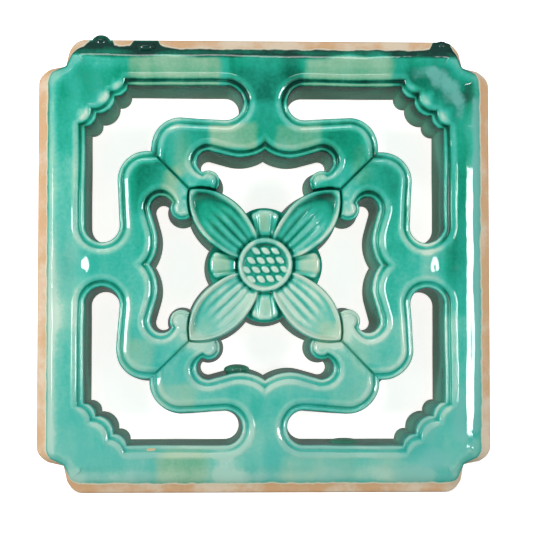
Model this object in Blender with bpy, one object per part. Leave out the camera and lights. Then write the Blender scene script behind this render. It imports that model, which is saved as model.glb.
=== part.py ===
"""A glazed ceramic breeze block: a square frame that holds a pierced ring and a four-petalled flower.

The block is one moulded piece. It stands upright as it does in a wall: its glazed front faces -Y, and the
origin is at the middle of its underside. Every outline is drawn on the front face, in metres from the middle
of that face, with u to the right and v up. Depth is measured from the front face towards the back.
"""

import math

import bmesh
import bpy

# Sizes of the block, in metres
SIDE = 0.300
DEPTH = 0.050
BORDER = 0.0315
SLOT = 0.0227
STEM = 0.0296
DRAFT = 0.0018
CENTRE_DRAFT = 0.0024
BACK_CHAMFER = 0.002

# The outer edge: the glazed front is set in from the bare clay sides, which flare out to the full size
FRONT_SET_IN = 0.0067
FLARE_DEPTH = 0.009
FLARE_FADE_END = 0.016
EDGE_ROUND = 0.0022
EDGE_ROUND_DEPTH = 0.0015

# The notch at each outer corner, measured in from the corner of the full square
NOTCH_START = 0.030
NOTCH_BEND_ALONG = 0.0226
NOTCH_BEND_IN = 0.0098
NOTCH_VERTEX = 0.0185

# The scalloped inner corner of the frame, measured back from where the two slots would meet
SCALLOP_START = 0.0279
CUSP_ALONG = 0.0194
CUSP_DOWN = 0.0077
SIDE_LOBE_RISE = 0.0025
MIDDLE_LOBE_RISE = 0.0038

# The stepped moulding round each opening, as distance from the wall's edge and depth
MOULDING_WIDTH = 0.0057
MOULDING_CREST = 0.0044
MOULDING_CREST_DEPTH = 0.0008
LEDGE_WIDTH = 0.0030
LEDGE_DEPTH = 0.0028
LEDGE_EDGE_DEPTH = 0.0032

# The ring and the flower keep their proportions, as shares of the ring's reach from the middle
SHOULDER_U = 0.579
SHOULDER_V = 0.811
SHOULDER_RADIUS = 0.2067
RING_NOTCH = 0.785
HOOK_U = 0.390
HOOK_V = 0.707
HOOK_RADIUS = 0.0778
BULGE_RISE = 0.0307
BULGE_RADIUS = 0.2923
BULGE_GAP = 0.0207
KNOB_DROP = 0.137
KNOB_RADIUS = 0.0825
PETAL_REACH = 0.736
PETAL_WIDEST = 0.4175
PETAL_HALF_WIDTH = 0.166
PETAL_ROOT_RADIUS = 0.546
SEPAL_REACH = 0.394
SEPAL_ARCH_RADIUS = 0.2234
DISC_RADIUS = 0.1905

# Carving depths below the front face
POCKET_DEPTH = 0.0070
CARVING_FOOT = 0.0100
GROOVE = 0.0016
CARVING_SET_IN = 0.0005
CARVING_START = 0.8
SUNK_IN = 0.001
CUT_OVER = 0.002

# A petal's face: shares are of its half width and of its length
PETAL_RIM_DEPTH = 0.0010
PETAL_EDGE_DEPTH = 0.0022
PETAL_EDGE_SHARE = 0.99
PETAL_RIM_SHARE = 0.88
PETAL_DISH = 0.0036
PETAL_DISH_ROUNDING = 0.35
PETAL_DISH_FADE = 0.8
PETAL_DISH_FADE_START = 0.72
RIDGE_HEIGHT = 0.0014
RIDGE_SPACING = 0.38
RIDGE_FADE_START = 0.35
RIDGE_FADE_LENGTH = 0.30
PETAL_COLUMNS = (0.0, 0.19, 0.38, 0.57, 0.76, 0.92, 1.0)

# A sepal's face: shares are of its half width, and its root is narrower than its end
SEPAL_RIB_DEPTH = 0.0034
SEPAL_SIDE_DEPTH = 0.0052
SEPAL_EDGE_DROP = 0.0012
SEPAL_HALF_WIDTH = 0.62
SEPAL_ROOT_WIDTH = 0.45
SEPAL_RIB_SHARE = 0.5
SEPAL_COLUMNS = (-1.0, -0.62, -0.4, 0.0, 0.4, 0.62, 1.0)
SEPAL_ROWS = 3

# The disc: its rim, its sunk field, and the slanted beads in rows, as shares of their pitch
DISC_RIM_DEPTH = 0.0005
DISC_RIM_WIDTH = 0.0032
DISC_RIM_TOP = 0.6
DISC_RIM_SHOULDER = 0.3
DISC_RIM_ROUND = 0.0003
DISC_FIELD_DEPTH = 0.0026
DISC_SIDE_DEPTH = 0.0024
BEAD_PITCH = 0.0064
BEAD_HEIGHT = 0.0013
BEAD_FOOT = 0.45
BEAD_TOP = 0.31
BEAD_SLANT = 0.5
BEAD_ROW_DROP = 0.3

# The V groove on each diagonal of the ring
SEAM_WIDTH = 0.0022
SEAM_DEPTH = 0.0024

# How finely the outlines are divided
LOBE_STEPS = 5
SLOT_END_STEPS = 12
SHOULDER_STEPS = 8
BULGE_STEPS = 6
HOOK_STEPS = 10
KNOB_STEPS = 7
PETAL_EDGE_STEPS = 5
SEPAL_STEPS = 3
NOTCH_STEPS = 4
DISC_STEPS = 28
PETAL_ROWS = 11

# Worked out from the sizes
SLOT_OUTER = SIDE / 2 - BORDER
RING_REACH = SLOT_OUTER - SLOT
DIAGONAL = math.sqrt(0.5)
QUARTER_TURNS = (0, 1, 2, 3)
# How far the lobes move for each unit that the moulding moves out, and how far the points beside them do
LOBE_SHIFT = 0.8
SCALLOP_START_SHIFT = 0.4
RING_NOTCH_SHIFT = 0.9
KNOB_EASE = 0.4
# Angles in degrees: past where a knob meets its petal, and the least that shows as an edge
KNOB_SEARCH_END = 250
SHARP_FROM = 35


def clear_scene():
    """Remove the objects that a new file starts with."""
    for old in list(bpy.data.objects):
        bpy.data.objects.remove(old, do_unlink=True)


def glazed_clay():
    """The material of the whole block: sea-green glaze."""
    material = bpy.data.materials.new("glazed_clay")
    material.use_nodes = True
    shader = material.node_tree.nodes["Principled BSDF"]
    shader.inputs["Base Color"].default_value = (0.07, 0.42, 0.32, 1.0)
    shader.inputs["Roughness"].default_value = 0.12
    shader.inputs["Metallic"].default_value = 0.0
    return material


def arc(centre, radius, start, end, steps):
    """Points of an arc between two angles in radians, both ends included."""
    angles = [start + (end - start) * i / steps for i in range(steps + 1)]
    return [(centre[0] + radius * math.cos(a), centre[1] + radius * math.sin(a)) for a in angles]


def lobe(start, end, rise, steps):
    """Points of an arc on a chord that rises to the left of it, both ends included."""
    along = (end[0] - start[0], end[1] - start[1])
    chord = math.hypot(*along)
    radius = (chord * chord / 4 + rise * rise) / (2 * rise)
    left = (-along[1] / chord, along[0] / chord)
    middle = ((start[0] + end[0]) / 2, (start[1] + end[1]) / 2)
    centre = (middle[0] - left[0] * (radius - rise), middle[1] - left[1] * (radius - rise))
    half_angle = math.asin(chord / 2 / radius)
    top = math.atan2(left[1], left[0])
    return arc(centre, radius, top + half_angle, top - half_angle, steps)


def smooth_step(x):
    """0 below 0, 1 above 1, and a smooth rise between."""
    x = min(max(x, 0.0), 1.0)
    return x * x * (3 - 2 * x)


def turned(points, quarter_turns):
    """The points turned about the middle of the face."""
    for _ in range(quarter_turns):
        points = [(-v, u) for u, v in points]
    return points


def corner_opening(step):
    """The outline of the upper right corner opening, this far out from its wall's front edge.

    It runs from the middle lobe of the scallops, round one arm to the notch in the ring, and back by the other.
    """
    edge = SLOT_OUTER + step
    shift = LOBE_SHIFT * step
    corner = (SLOT_OUTER - SCALLOP_START + SCALLOP_START_SHIFT * step, edge)
    cusp = (SLOT_OUTER - CUSP_ALONG + shift, SLOT_OUTER - CUSP_DOWN + shift)
    middle_lobe = lobe((cusp[1], cusp[0]), cusp, MIDDLE_LOBE_RISE, 2 * LOBE_STEPS)
    side_lobe = lobe(cusp, corner, SIDE_LOBE_RISE, LOBE_STEPS)
    slot_end = ((STEM + SLOT) / 2, SLOT_OUTER - SLOT / 2)
    end = arc(slot_end, SLOT / 2 + step, math.pi / 2, math.pi * 3 / 2, SLOT_END_STEPS)
    shoulder_at = (SHOULDER_U * RING_REACH, SHOULDER_V * RING_REACH)
    shoulder = arc(shoulder_at, SHOULDER_RADIUS * RING_REACH - step, math.pi / 2, 0.0, SHOULDER_STEPS)
    notch = RING_NOTCH * RING_REACH - RING_NOTCH_SHIFT * step
    half = middle_lobe[LOBE_STEPS:] + side_lobe[1:] + end + shoulder + [(notch, notch)]
    other = [(v, u) for u, v in half[-2:0:-1]]
    return half + other


def petal_half_width(s, set_in=0.0):
    """Half the width of a petal at a distance along it from the middle of the flower."""
    widest = PETAL_WIDEST * RING_REACH
    width = PETAL_HALF_WIDTH * RING_REACH
    length = PETAL_REACH * RING_REACH - widest
    radius = (length * length + width * width) / (2 * width) if s > widest else PETAL_ROOT_RADIUS * RING_REACH
    return width - radius + math.sqrt(radius * radius - (s - widest) ** 2) - set_in


def petal_tip(set_in=0.0):
    """How far a petal reaches along its own line when its edge is set in."""
    widest = PETAL_WIDEST * RING_REACH
    width = PETAL_HALF_WIDTH * RING_REACH
    length = PETAL_REACH * RING_REACH - widest
    radius = (length * length + width * width) / (2 * width)
    return widest + math.sqrt(radius * radius - (radius - width + set_in) ** 2)


def petal_edge(s, grow):
    """A point on the upper edge of the upper right petal."""
    t = petal_half_width(s, -grow)
    return ((s - t) * DIAGONAL, (s + t) * DIAGONAL)


def first_inside(test, low, high, steps=40):
    """The value between low, where the test fails, and high, where it passes, at which it starts to pass."""
    for _ in range(steps):
        middle = (low + high) / 2
        if test(middle):
            high = middle
        else:
            low = middle
    return high


def sepal_arch(grow):
    """The centre and the radius of the arch that ends the upper sepal."""
    radius = SEPAL_ARCH_RADIUS * RING_REACH
    return (0.0, SEPAL_REACH * RING_REACH - radius), radius + grow


def bulge_centre(hook_at):
    """The centre of the bulge's arc, which comes down near the hook and clears its arc by a small gap."""
    rise = (BULGE_RISE + BULGE_RADIUS) * RING_REACH
    apart = (BULGE_RADIUS + HOOK_RADIUS + BULGE_GAP) * RING_REACH
    return hook_at[0] - math.sqrt(apart * apart - rise * rise), hook_at[1] + rise


def bracket_opening(step):
    """The outline of the upper opening between ring and flower, this far out from its wall's front edge.

    A step out moves only the ring's side, where the moulding is, and eases the knobs. A step in, as the draft
    makes towards the back, moves all of it.
    """
    grow = max(0.0, -step)
    hook_at = (HOOK_U * RING_REACH, HOOK_V * RING_REACH)
    knob_at = (hook_at[0], hook_at[1] - KNOB_DROP * RING_REACH)
    bulge_at = bulge_centre(hook_at)
    bulge_radius = BULGE_RADIUS * RING_REACH - step
    hook_radius = HOOK_RADIUS * RING_REACH
    ease = -grow if grow else KNOB_EASE * step
    knob_radius = KNOB_RADIUS * RING_REACH - ease

    gap = (hook_at[0] - bulge_at[0], hook_at[1] - bulge_at[1])
    lean = math.acos((bulge_radius + hook_radius + step) / math.hypot(*gap))
    tangent = math.atan2(gap[1], gap[0]) - lean
    cusp_angle = -math.pi / 2 - math.asin(bulge_at[0] / bulge_radius)
    bulge = arc(bulge_at, bulge_radius, cusp_angle, tangent, BULGE_STEPS)

    down = hook_at[1] - knob_at[1]
    end_radius = hook_radius + ease
    drop = (down * down + end_radius * end_radius - knob_radius * knob_radius) / (2 * down)
    side = math.sqrt(end_radius * end_radius - drop * drop)
    hook_end = math.atan2(-drop, side)
    hook = []
    for i in range(HOOK_STEPS + 1):
        share = i / HOOK_STEPS
        angle = tangent + math.pi + (hook_end - tangent - math.pi) * share
        radius = hook_radius + ease + (step - ease) * (1.0 - smooth_step(share * 2.0 - 1.0))
        hook.append((hook_at[0] + radius * math.cos(angle), hook_at[1] + radius * math.sin(angle)))

    def knob_foot(angle):
        radius = KNOB_RADIUS * RING_REACH + grow
        return knob_at[0] + radius * math.cos(angle), knob_at[1] + radius * math.sin(angle)

    def in_petal(angle):
        u, v = knob_foot(angle)
        return (v - u) * DIAGONAL < petal_half_width((u + v) * DIAGONAL, -grow)

    knob_start = math.atan2(down - drop, side)
    knob_end = first_inside(in_petal, math.pi, math.radians(KNOB_SEARCH_END))
    knob = arc(knob_at, knob_radius, knob_start, knob_end, KNOB_STEPS)
    petal_start = sum(knob_foot(knob_end)) * DIAGONAL

    arch_at, arch_radius = sepal_arch(grow)

    def in_sepal(s):
        u, v = petal_edge(s, grow)
        return math.hypot(u - arch_at[0], v - arch_at[1]) < arch_radius

    petal_end = first_inside(in_sepal, PETAL_WIDEST * RING_REACH, SEPAL_REACH * RING_REACH * DIAGONAL)
    stretch = petal_end - petal_start
    petal = [petal_edge(petal_start + stretch * i / PETAL_EDGE_STEPS, grow) for i in range(PETAL_EDGE_STEPS + 1)]
    meet = petal[-1]
    sepal_angle = math.atan2(meet[1] - arch_at[1], meet[0] - arch_at[0])
    sepal = arc(arch_at, arch_radius, sepal_angle, math.pi / 2, SEPAL_STEPS)

    half = bulge + hook + knob[1:-1] + petal + sepal[1:]
    other = [(-u, v) for u, v in half[-2:0:-1]]
    return half + other


def offset_outline(points, distances):
    """A closed outline with each point moved out along the line between its two edges' normals."""
    moved = []
    for i, (u, v) in enumerate(points):
        before, after = points[i - 1], points[(i + 1) % len(points)]
        normals = []
        for a, b in ((before, (u, v)), ((u, v), after)):
            length = math.hypot(b[0] - a[0], b[1] - a[1])
            normals.append(((b[1] - a[1]) / length, (a[0] - b[0]) / length))
        total = (normals[0][0] + normals[1][0], normals[0][1] + normals[1][1])
        scale = 2 * distances[i] / (total[0] ** 2 + total[1] ** 2)
        moved.append((u + total[0] * scale, v + total[1] * scale))
    return moved


def front_outline():
    """The glazed front's outer edge, anticlockwise, and how much of the flare each point takes."""
    half = SIDE / 2
    edge = half - FRONT_SET_IN
    start = half - NOTCH_START
    bend = (half - NOTCH_BEND_IN, half - NOTCH_BEND_ALONG)
    vertex = half - NOTCH_VERTEX
    across = edge - bend[0]
    rise = bend[1] - start
    radius = (across * across + rise * rise) / (2 * across)
    sweep = math.asin(rise / radius)
    curve = arc((edge - radius, start), radius, 0.0, sweep, NOTCH_STEPS)
    corner = curve + [(vertex, vertex)] + [(v, u) for u, v in reversed(curve)]
    points = [point for turn in QUARTER_TURNS for point in turned(corner, turn)]
    flares = []
    for u, v in points:
        to_corner = half - min(abs(u), abs(v))
        flares.append(smooth_step((to_corner - FLARE_FADE_END) / (NOTCH_START - FLARE_FADE_END)))
    return points, flares


def outer_levels():
    """The outer outline at each depth, from the front face to the back."""
    front, flares = front_outline()
    count = len(front)
    widest = offset_outline(front, [FRONT_SET_IN * share for share in flares])
    return [
        (offset_outline(front, [-EDGE_ROUND] * count), 0.0),
        (front, EDGE_ROUND_DEPTH),
        (widest, FLARE_DEPTH),
        (widest, DEPTH - BACK_CHAMFER),
        (offset_outline(widest, [-BACK_CHAMFER] * count), DEPTH),
    ]


def opening_levels(outline, draft):
    """An opening's outline at each depth: moulding, ledge, and the wall with its draft."""
    return [
        (outline(MOULDING_WIDTH), 0.0),
        (outline(MOULDING_CREST), MOULDING_CREST_DEPTH),
        (outline(LEDGE_WIDTH), LEDGE_DEPTH),
        (outline(0.0), LEDGE_EDGE_DEPTH),
        (outline(-draft), DEPTH),
    ]


def ring_of_verts(mesh, points, depth):
    """Vertices for a closed outline at one depth."""
    return [mesh.verts.new((u, depth, v)) for u, v in points]


def skin(mesh, rings, closed=True):
    """Faces between each pair of neighbouring rows of vertices."""
    for near, far in zip(rings, rings[1:]):
        count = len(near)
        for i in range(count if closed else count - 1):
            j = (i + 1) % count
            mesh.faces.new((near[i], near[j], far[j], far[i]))


def edges_of(mesh, ring):
    """The edges round a closed ring of vertices."""
    return [mesh.edges.get((ring[i], ring[(i + 1) % len(ring)])) for i in range(len(ring))]


def finished(mesh, name, material, helpers=None):
    """An object of this mesh at the middle of the front face. A helper goes in its collection, hidden."""
    bmesh.ops.recalc_face_normals(mesh, faces=mesh.faces)
    data = bpy.data.meshes.new(name)
    mesh.to_mesh(data)
    mesh.free()
    data.materials.append(material)
    obj = bpy.data.objects.new(name, data)
    return placed(obj, helpers)


def placed(obj, helpers=None, turn=0.0):
    """Put an object at the middle of the front face, turned about the line through it."""
    obj.location = (0.0, -DEPTH / 2, SIDE / 2)
    obj.rotation_euler = (0.0, turn, 0.0)
    if helpers is None:
        bpy.context.scene.collection.objects.link(obj)
    else:
        helpers.objects.link(obj)
        obj.hide_render = True
        obj.display_type = "WIRE"
    return obj


def helper_collection(name):
    """A collection for shapes that a Boolean takes away or adds."""
    made = bpy.data.collections.new(name)
    bpy.context.scene.collection.children.link(made)
    return made


def pierced_slab(material):
    """The frame, stems and ring as one slab with its eight openings."""
    mesh = bmesh.new()
    walls = [outer_levels()]
    for outline, draft in ((corner_opening, DRAFT), (bracket_opening, CENTRE_DRAFT)):
        levels = opening_levels(outline, draft)
        for turn in QUARTER_TURNS:
            walls.append([(turned(points, turn), depth) for points, depth in levels])
    front, back = [], []
    for levels in walls:
        rings = [ring_of_verts(mesh, points, depth) for points, depth in levels]
        skin(mesh, rings)
        front += edges_of(mesh, rings[0])
        back += edges_of(mesh, rings[-1])
    bmesh.ops.triangle_fill(mesh, use_beauty=True, edges=front, normal=(0.0, -1.0, 0.0))
    bmesh.ops.triangle_fill(mesh, use_beauty=True, edges=back, normal=(0.0, 1.0, 0.0))
    return finished(mesh, "breeze_block", material)


def closed_relief(rows, foot):
    """A closed solid from a grid of surface points, with straight sides down to its foot."""
    mesh = bmesh.new()
    grid = [[mesh.verts.new(point) for point in row] for row in rows]
    skin(mesh, grid, closed=False)
    rim = [v for v in grid[0]] + [row[-1] for row in grid[1:]]
    rim += list(reversed(grid[-1][:-1])) + [row[0] for row in reversed(grid[1:-1])]
    below = [mesh.verts.new((v.co.x, foot, v.co.z)) for v in rim]
    skin(mesh, [rim, below])
    mesh.faces.new(below)
    return mesh


def petal_depth(across, along):
    """The depth of a petal's face at a share of its half width and a share of its length."""
    side = abs(across)
    if side > PETAL_EDGE_SHARE:
        return PETAL_EDGE_DEPTH
    if side > PETAL_RIM_SHARE:
        return PETAL_RIM_DEPTH
    to_tip = smooth_step((along - PETAL_DISH_FADE_START) / (1.0 - PETAL_DISH_FADE_START))
    dish = PETAL_DISH * (1.0 - PETAL_DISH_ROUNDING * side * side) * (1.0 - PETAL_DISH_FADE * to_tip)
    ridges = RIDGE_HEIGHT * (1.0 - smooth_step((along - RIDGE_FADE_START) / RIDGE_FADE_LENGTH))
    wave = 0.5 - 0.5 * math.cos(side * 2.0 * math.pi / RIDGE_SPACING)
    return PETAL_RIM_DEPTH + dish - ridges * wave


def petal_solid():
    """One petal along +Z: a raised rim round a dish, with ridges that fade towards the tip."""
    start = DISC_RADIUS * RING_REACH * CARVING_START
    tip = petal_tip(CARVING_SET_IN)
    columns = [-share for share in reversed(PETAL_COLUMNS[1:])] + list(PETAL_COLUMNS)
    rows = []
    for i in range(PETAL_ROWS):
        along = math.sin(math.pi / 2 * i / PETAL_ROWS)
        s = start + (tip - start) * along
        width = petal_half_width(s, CARVING_SET_IN)
        rows.append([(width * share, petal_depth(share, along), s) for share in columns])
    return closed_relief(rows, CARVING_FOOT)


def sepal_solid():
    """One sepal along +Z: a low fan with a rounded rib down its middle and an arched end."""
    arch_at, arch_radius = sepal_arch(-CARVING_SET_IN)
    start = DISC_RADIUS * RING_REACH * CARVING_START
    half_width = arch_radius * SEPAL_HALF_WIDTH
    rows = []
    for i in range(SEPAL_ROWS + 1):
        along = i / SEPAL_ROWS
        row = []
        for share in SEPAL_COLUMNS:
            u = share * half_width * (SEPAL_ROOT_WIDTH + (1.0 - SEPAL_ROOT_WIDTH) * along)
            end = arch_at[1] + math.sqrt(arch_radius * arch_radius - u * u)
            rib = max(0.0, 1.0 - (share / SEPAL_RIB_SHARE) ** 2)
            depth = SEPAL_SIDE_DEPTH + (SEPAL_RIB_DEPTH - SEPAL_SIDE_DEPTH) * rib
            if i == SEPAL_ROWS:
                depth += SEPAL_EDGE_DROP
            row.append((u, depth, start + (end - start) * along))
        rows.append(row)
    return closed_relief(rows, CARVING_FOOT + CARVING_SET_IN)


def disc_solid():
    """The flower's centre: a round disc with a raised rim round a sunk field."""
    radius = DISC_RADIUS * RING_REACH
    inner = radius - DISC_RIM_WIDTH
    profile = (
        (radius, CARVING_FOOT + SUNK_IN),
        (radius, DISC_SIDE_DEPTH),
        (radius - DISC_RIM_WIDTH * DISC_RIM_SHOULDER, DISC_RIM_DEPTH + DISC_RIM_ROUND),
        (radius - DISC_RIM_WIDTH * DISC_RIM_TOP, DISC_RIM_DEPTH),
        (inner, DISC_FIELD_DEPTH),
    )
    mesh = bmesh.new()
    rings = []
    for r, depth in profile:
        points = arc((0.0, 0.0), r, 0.0, 2 * math.pi * (1 - 1 / DISC_STEPS), DISC_STEPS - 1)
        rings.append(ring_of_verts(mesh, points, depth))
    skin(mesh, rings)
    mesh.faces.new(rings[0])
    mesh.faces.new(rings[-1])
    return mesh


def beads_solid():
    """The rows of slanted beads that stand on the disc's field."""
    field = DISC_RADIUS * RING_REACH - DISC_RIM_WIDTH
    foot = DISC_FIELD_DEPTH + SUNK_IN
    top = DISC_FIELD_DEPTH - BEAD_HEIGHT
    mesh = bmesh.new()
    most = 2 * math.ceil(field / BEAD_PITCH)
    for row in range(-most, most + 1):
        v = (row - BEAD_ROW_DROP) * BEAD_PITCH
        for column in range(-most, most + 1):
            u = (column - BEAD_SLANT * row) * BEAD_PITCH
            if math.hypot(u, v) > field - BEAD_PITCH * BEAD_TOP:
                continue
            rings = []
            for size, depth in ((BEAD_FOOT, foot), (BEAD_TOP, top)):
                half = BEAD_PITCH * size
                lean = half * BEAD_SLANT
                points = [(u - half - lean, v + half), (u + half - lean, v + half)]
                points += [(u + half + lean, v - half), (u - half + lean, v - half)]
                rings.append(ring_of_verts(mesh, points, depth))
            skin(mesh, rings)
            mesh.faces.new(rings[0])
            mesh.faces.new(rings[-1])
    return mesh


def prism(points, near, far):
    """A closed prism of an outline between two depths."""
    mesh = bmesh.new()
    rings = [ring_of_verts(mesh, points, near), ring_of_verts(mesh, points, far)]
    skin(mesh, rings)
    mesh.faces.new(rings[0])
    mesh.faces.new(rings[1])
    return mesh


def petal_pocket():
    """What is cut away under and round one petal, along +Z."""
    start = DISC_RADIUS * RING_REACH / 2
    tip = petal_tip(-GROOVE)
    side = []
    for i in range(PETAL_ROWS):
        s = start + (tip - start) * math.sin(math.pi / 2 * i / PETAL_ROWS)
        side.append((petal_half_width(s, -GROOVE), s))
    outline = side + [(0.0, tip)] + [(-t, s) for t, s in reversed(side)]
    return prism(outline, -CUT_OVER, POCKET_DEPTH)


def middle_pocket():
    """What is cut away under the disc and the sepals."""
    radius = SEPAL_REACH * RING_REACH + GROOVE
    points = arc((0.0, 0.0), radius, 0.0, 2 * math.pi * (1 - 1 / DISC_STEPS), DISC_STEPS - 1)
    return prism(points, -CUT_OVER, POCKET_DEPTH + CARVING_SET_IN)


def seam_cutter():
    """The V groove from a petal's tip to the notch in the ring, along +Z."""
    start = petal_tip(0.0)
    end = RING_NOTCH * RING_REACH / DIAGONAL + SLOT / 2
    mesh = bmesh.new()
    half = SEAM_WIDTH / 2 * (SEAM_DEPTH + CUT_OVER) / SEAM_DEPTH
    section = ((-half, -CUT_OVER), (half, -CUT_OVER), (0.0, SEAM_DEPTH))
    rings = [[mesh.verts.new((u, depth, s)) for u, depth in section] for s in (start, end)]
    skin(mesh, rings)
    mesh.faces.new(rings[0])
    mesh.faces.new(rings[1])
    return mesh


def boolean(obj, operation, helpers):
    """Take a collection of shapes away from the object, or add them to it."""
    modifier = obj.modifiers.new(helpers.name, "BOOLEAN")
    modifier.operation = operation
    modifier.operand_type = "COLLECTION"
    modifier.collection = helpers
    modifier.solver = "EXACT"


def copies(first, helpers, start):
    """Three more objects of the same mesh, turned by quarter turns about the middle."""
    first.rotation_euler = (0.0, start, 0.0)
    for turn in QUARTER_TURNS[1:]:
        obj = bpy.data.objects.new(f"{first.name}_{turn + 1}", first.data)
        placed(obj, helpers, start + turn * math.pi / 2)


def main():
    """Build the block."""
    clear_scene()
    material = glazed_clay()
    block = pierced_slab(material)

    hollows = helper_collection("hollows")
    finished(middle_pocket(), "middle_pocket", material, hollows)
    copies(finished(petal_pocket(), "petal_pocket", material, hollows), hollows, math.pi / 4)
    copies(finished(seam_cutter(), "seam", material, hollows), hollows, math.pi / 4)
    boolean(block, "DIFFERENCE", hollows)

    flower = helper_collection("flower")
    copies(finished(sepal_solid(), "sepal", material, flower), flower, 0.0)
    copies(finished(petal_solid(), "petal", material, flower), flower, math.pi / 4)
    finished(disc_solid(), "disc", material, flower)
    finished(beads_solid(), "beads", material, flower)
    boolean(block, "UNION", flower)

    block.data.shade_smooth()
    block.data.set_sharp_from_angle(angle=math.radians(SHARP_FROM))


main()
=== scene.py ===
"""Looks of a glazed ceramic breeze block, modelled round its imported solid.

The block stands upright with its glazed front facing -Y. Outlines are drawn on the front face in metres from
its middle, with u to the right and v up, and depth runs from the front face towards the back.
"""

import logging
import math
from collections.abc import Callable, Iterable, Sequence
from dataclasses import dataclass, field, replace
from enum import Enum

import bmesh
import bpy
import numpy as np
from mathutils import Euler, Matrix, Vector, noise
from mathutils.bvhtree import BVHTree
from mathutils.geometry import delaunay_2d_cdt
from mathutils.kdtree import KDTree


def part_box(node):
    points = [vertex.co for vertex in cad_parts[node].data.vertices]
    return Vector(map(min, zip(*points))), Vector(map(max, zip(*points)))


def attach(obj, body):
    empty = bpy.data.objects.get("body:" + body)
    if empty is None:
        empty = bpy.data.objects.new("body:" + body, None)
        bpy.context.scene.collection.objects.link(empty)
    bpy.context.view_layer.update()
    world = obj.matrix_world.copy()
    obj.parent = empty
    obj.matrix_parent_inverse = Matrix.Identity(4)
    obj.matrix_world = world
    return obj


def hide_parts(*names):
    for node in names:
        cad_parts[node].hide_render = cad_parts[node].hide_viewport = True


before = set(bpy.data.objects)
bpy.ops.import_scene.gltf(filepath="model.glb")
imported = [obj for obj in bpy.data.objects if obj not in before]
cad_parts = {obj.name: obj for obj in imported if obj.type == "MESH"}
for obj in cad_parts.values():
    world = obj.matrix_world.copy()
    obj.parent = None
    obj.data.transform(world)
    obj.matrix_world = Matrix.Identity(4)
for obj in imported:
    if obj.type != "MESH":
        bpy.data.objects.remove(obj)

LOG = logging.getLogger("breeze_block")
Point = tuple[float, float]
Outline = list[Point]
Levels = list[tuple[Outline, float]]
Colour = tuple[float, float, float]
Range = tuple[float, float, float, float]

NODE = "breeze_block"
DIAGONAL = math.sqrt(0.5)
TRIANGLE_HEIGHT = math.sqrt(0.75)
QUARTER_TURNS = (0, 1, 2, 3)
NOISE_SEED = 3


def smooth_step(x: float) -> float:
    """Return 0 below 0, 1 above 1, and a smooth rise between."""
    x = min(max(x, 0.0), 1.0)
    return x * x * (3.0 - 2.0 * x)


def arc(centre: Point, radius: float, start: float, end: float, steps: int) -> Outline:
    """Points of an arc between two angles in radians, both ends included.

    Args:
        centre: The arc's centre.
        radius: Its radius in metres.
        start: The first angle.
        end: The last angle.
        steps: How many pieces the arc is divided into.

    Returns:
        The points in order.
    """
    angles = [start + (end - start) * i / steps for i in range(steps + 1)]
    return [(centre[0] + radius * math.cos(a), centre[1] + radius * math.sin(a)) for a in angles]


def lobe(start: Point, end: Point, rise: float, steps: int) -> Outline:
    """Points of an arc on a chord that rises to the left of it.

    Args:
        start: The chord's first end.
        end: Its other end.
        rise: How far the arc's middle is from the chord.
        steps: How many pieces the arc is divided into.

    Returns:
        The points in order, both ends included.
    """
    along = (end[0] - start[0], end[1] - start[1])
    chord = math.hypot(*along)
    radius = (chord * chord / 4 + rise * rise) / (2 * rise)
    left = (-along[1] / chord, along[0] / chord)
    middle = ((start[0] + end[0]) / 2, (start[1] + end[1]) / 2)
    centre = (middle[0] - left[0] * (radius - rise), middle[1] - left[1] * (radius - rise))
    half_angle = math.asin(chord / 2 / radius)
    top = math.atan2(left[1], left[0])
    return arc(centre, radius, top + half_angle, top - half_angle, steps)


def turned(points: Outline, quarter_turns: int) -> Outline:
    """Return the points turned anticlockwise about the middle of the face."""
    for _ in range(quarter_turns):
        points = [(-v, u) for u, v in points]
    return points


def first_inside(test: Callable[[float], bool], low: float, high: float, steps: int = 40) -> float:
    """Find where a test starts to pass.

    Args:
        test: The test, which fails at low and passes at high.
        low: One end of the search.
        high: The other end.
        steps: How often the stretch is halved.

    Returns:
        The value at which the test starts to pass.
    """
    for _ in range(steps):
        middle = (low + high) / 2
        if test(middle):
            high = middle
        else:
            low = middle
    return high


def curve_through(points: Sequence[Point], steps: int) -> Outline:
    """A smooth curve through points, which keeps its first and last point.

    Args:
        points: The points, in order.
        steps: How many pieces each stretch is divided into.

    Returns:
        The curve's points.
    """
    made = [points[0]]
    for i in range(len(points) - 1):
        before = points[max(i - 1, 0)]
        a, b = points[i], points[i + 1]
        after = points[min(i + 2, len(points) - 1)]
        for k in range(1, steps + 1):
            t = k / steps
            weights = (
                (-t + 2 * t * t - t ** 3) / 2,
                (2 - 5 * t * t + 3 * t ** 3) / 2,
                (t + 4 * t * t - 3 * t ** 3) / 2,
                (-t * t + t ** 3) / 2,
            )
            place = [sum(w * p[n] for w, p in zip(weights, (before, a, b, after))) for n in (0, 1)]
            made.append((place[0], place[1]))
    return made


def divided(levels: Levels, longest: float) -> Levels:
    """Divide the long straight runs of every level alike, so that the levels keep the same count.

    Args:
        levels: Outlines with as many points each, and their depths.
        longest: The longest piece wanted on the last level.

    Returns:
        The levels with the added points.
    """
    guide = levels[-1][0]
    counts = []
    for i, (u, v) in enumerate(guide):
        after = guide[(i + 1) % len(guide)]
        counts.append(max(1, math.ceil(math.hypot(after[0] - u, after[1] - v) / longest)))
    made = []
    for points, depth in levels:
        finer = []
        for i, (u, v) in enumerate(points):
            after = points[(i + 1) % len(points)]
            for k in range(counts[i]):
                share = k / counts[i]
                finer.append((u + (after[0] - u) * share, v + (after[1] - v) * share))
        made.append((finer, depth))
    return made


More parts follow.
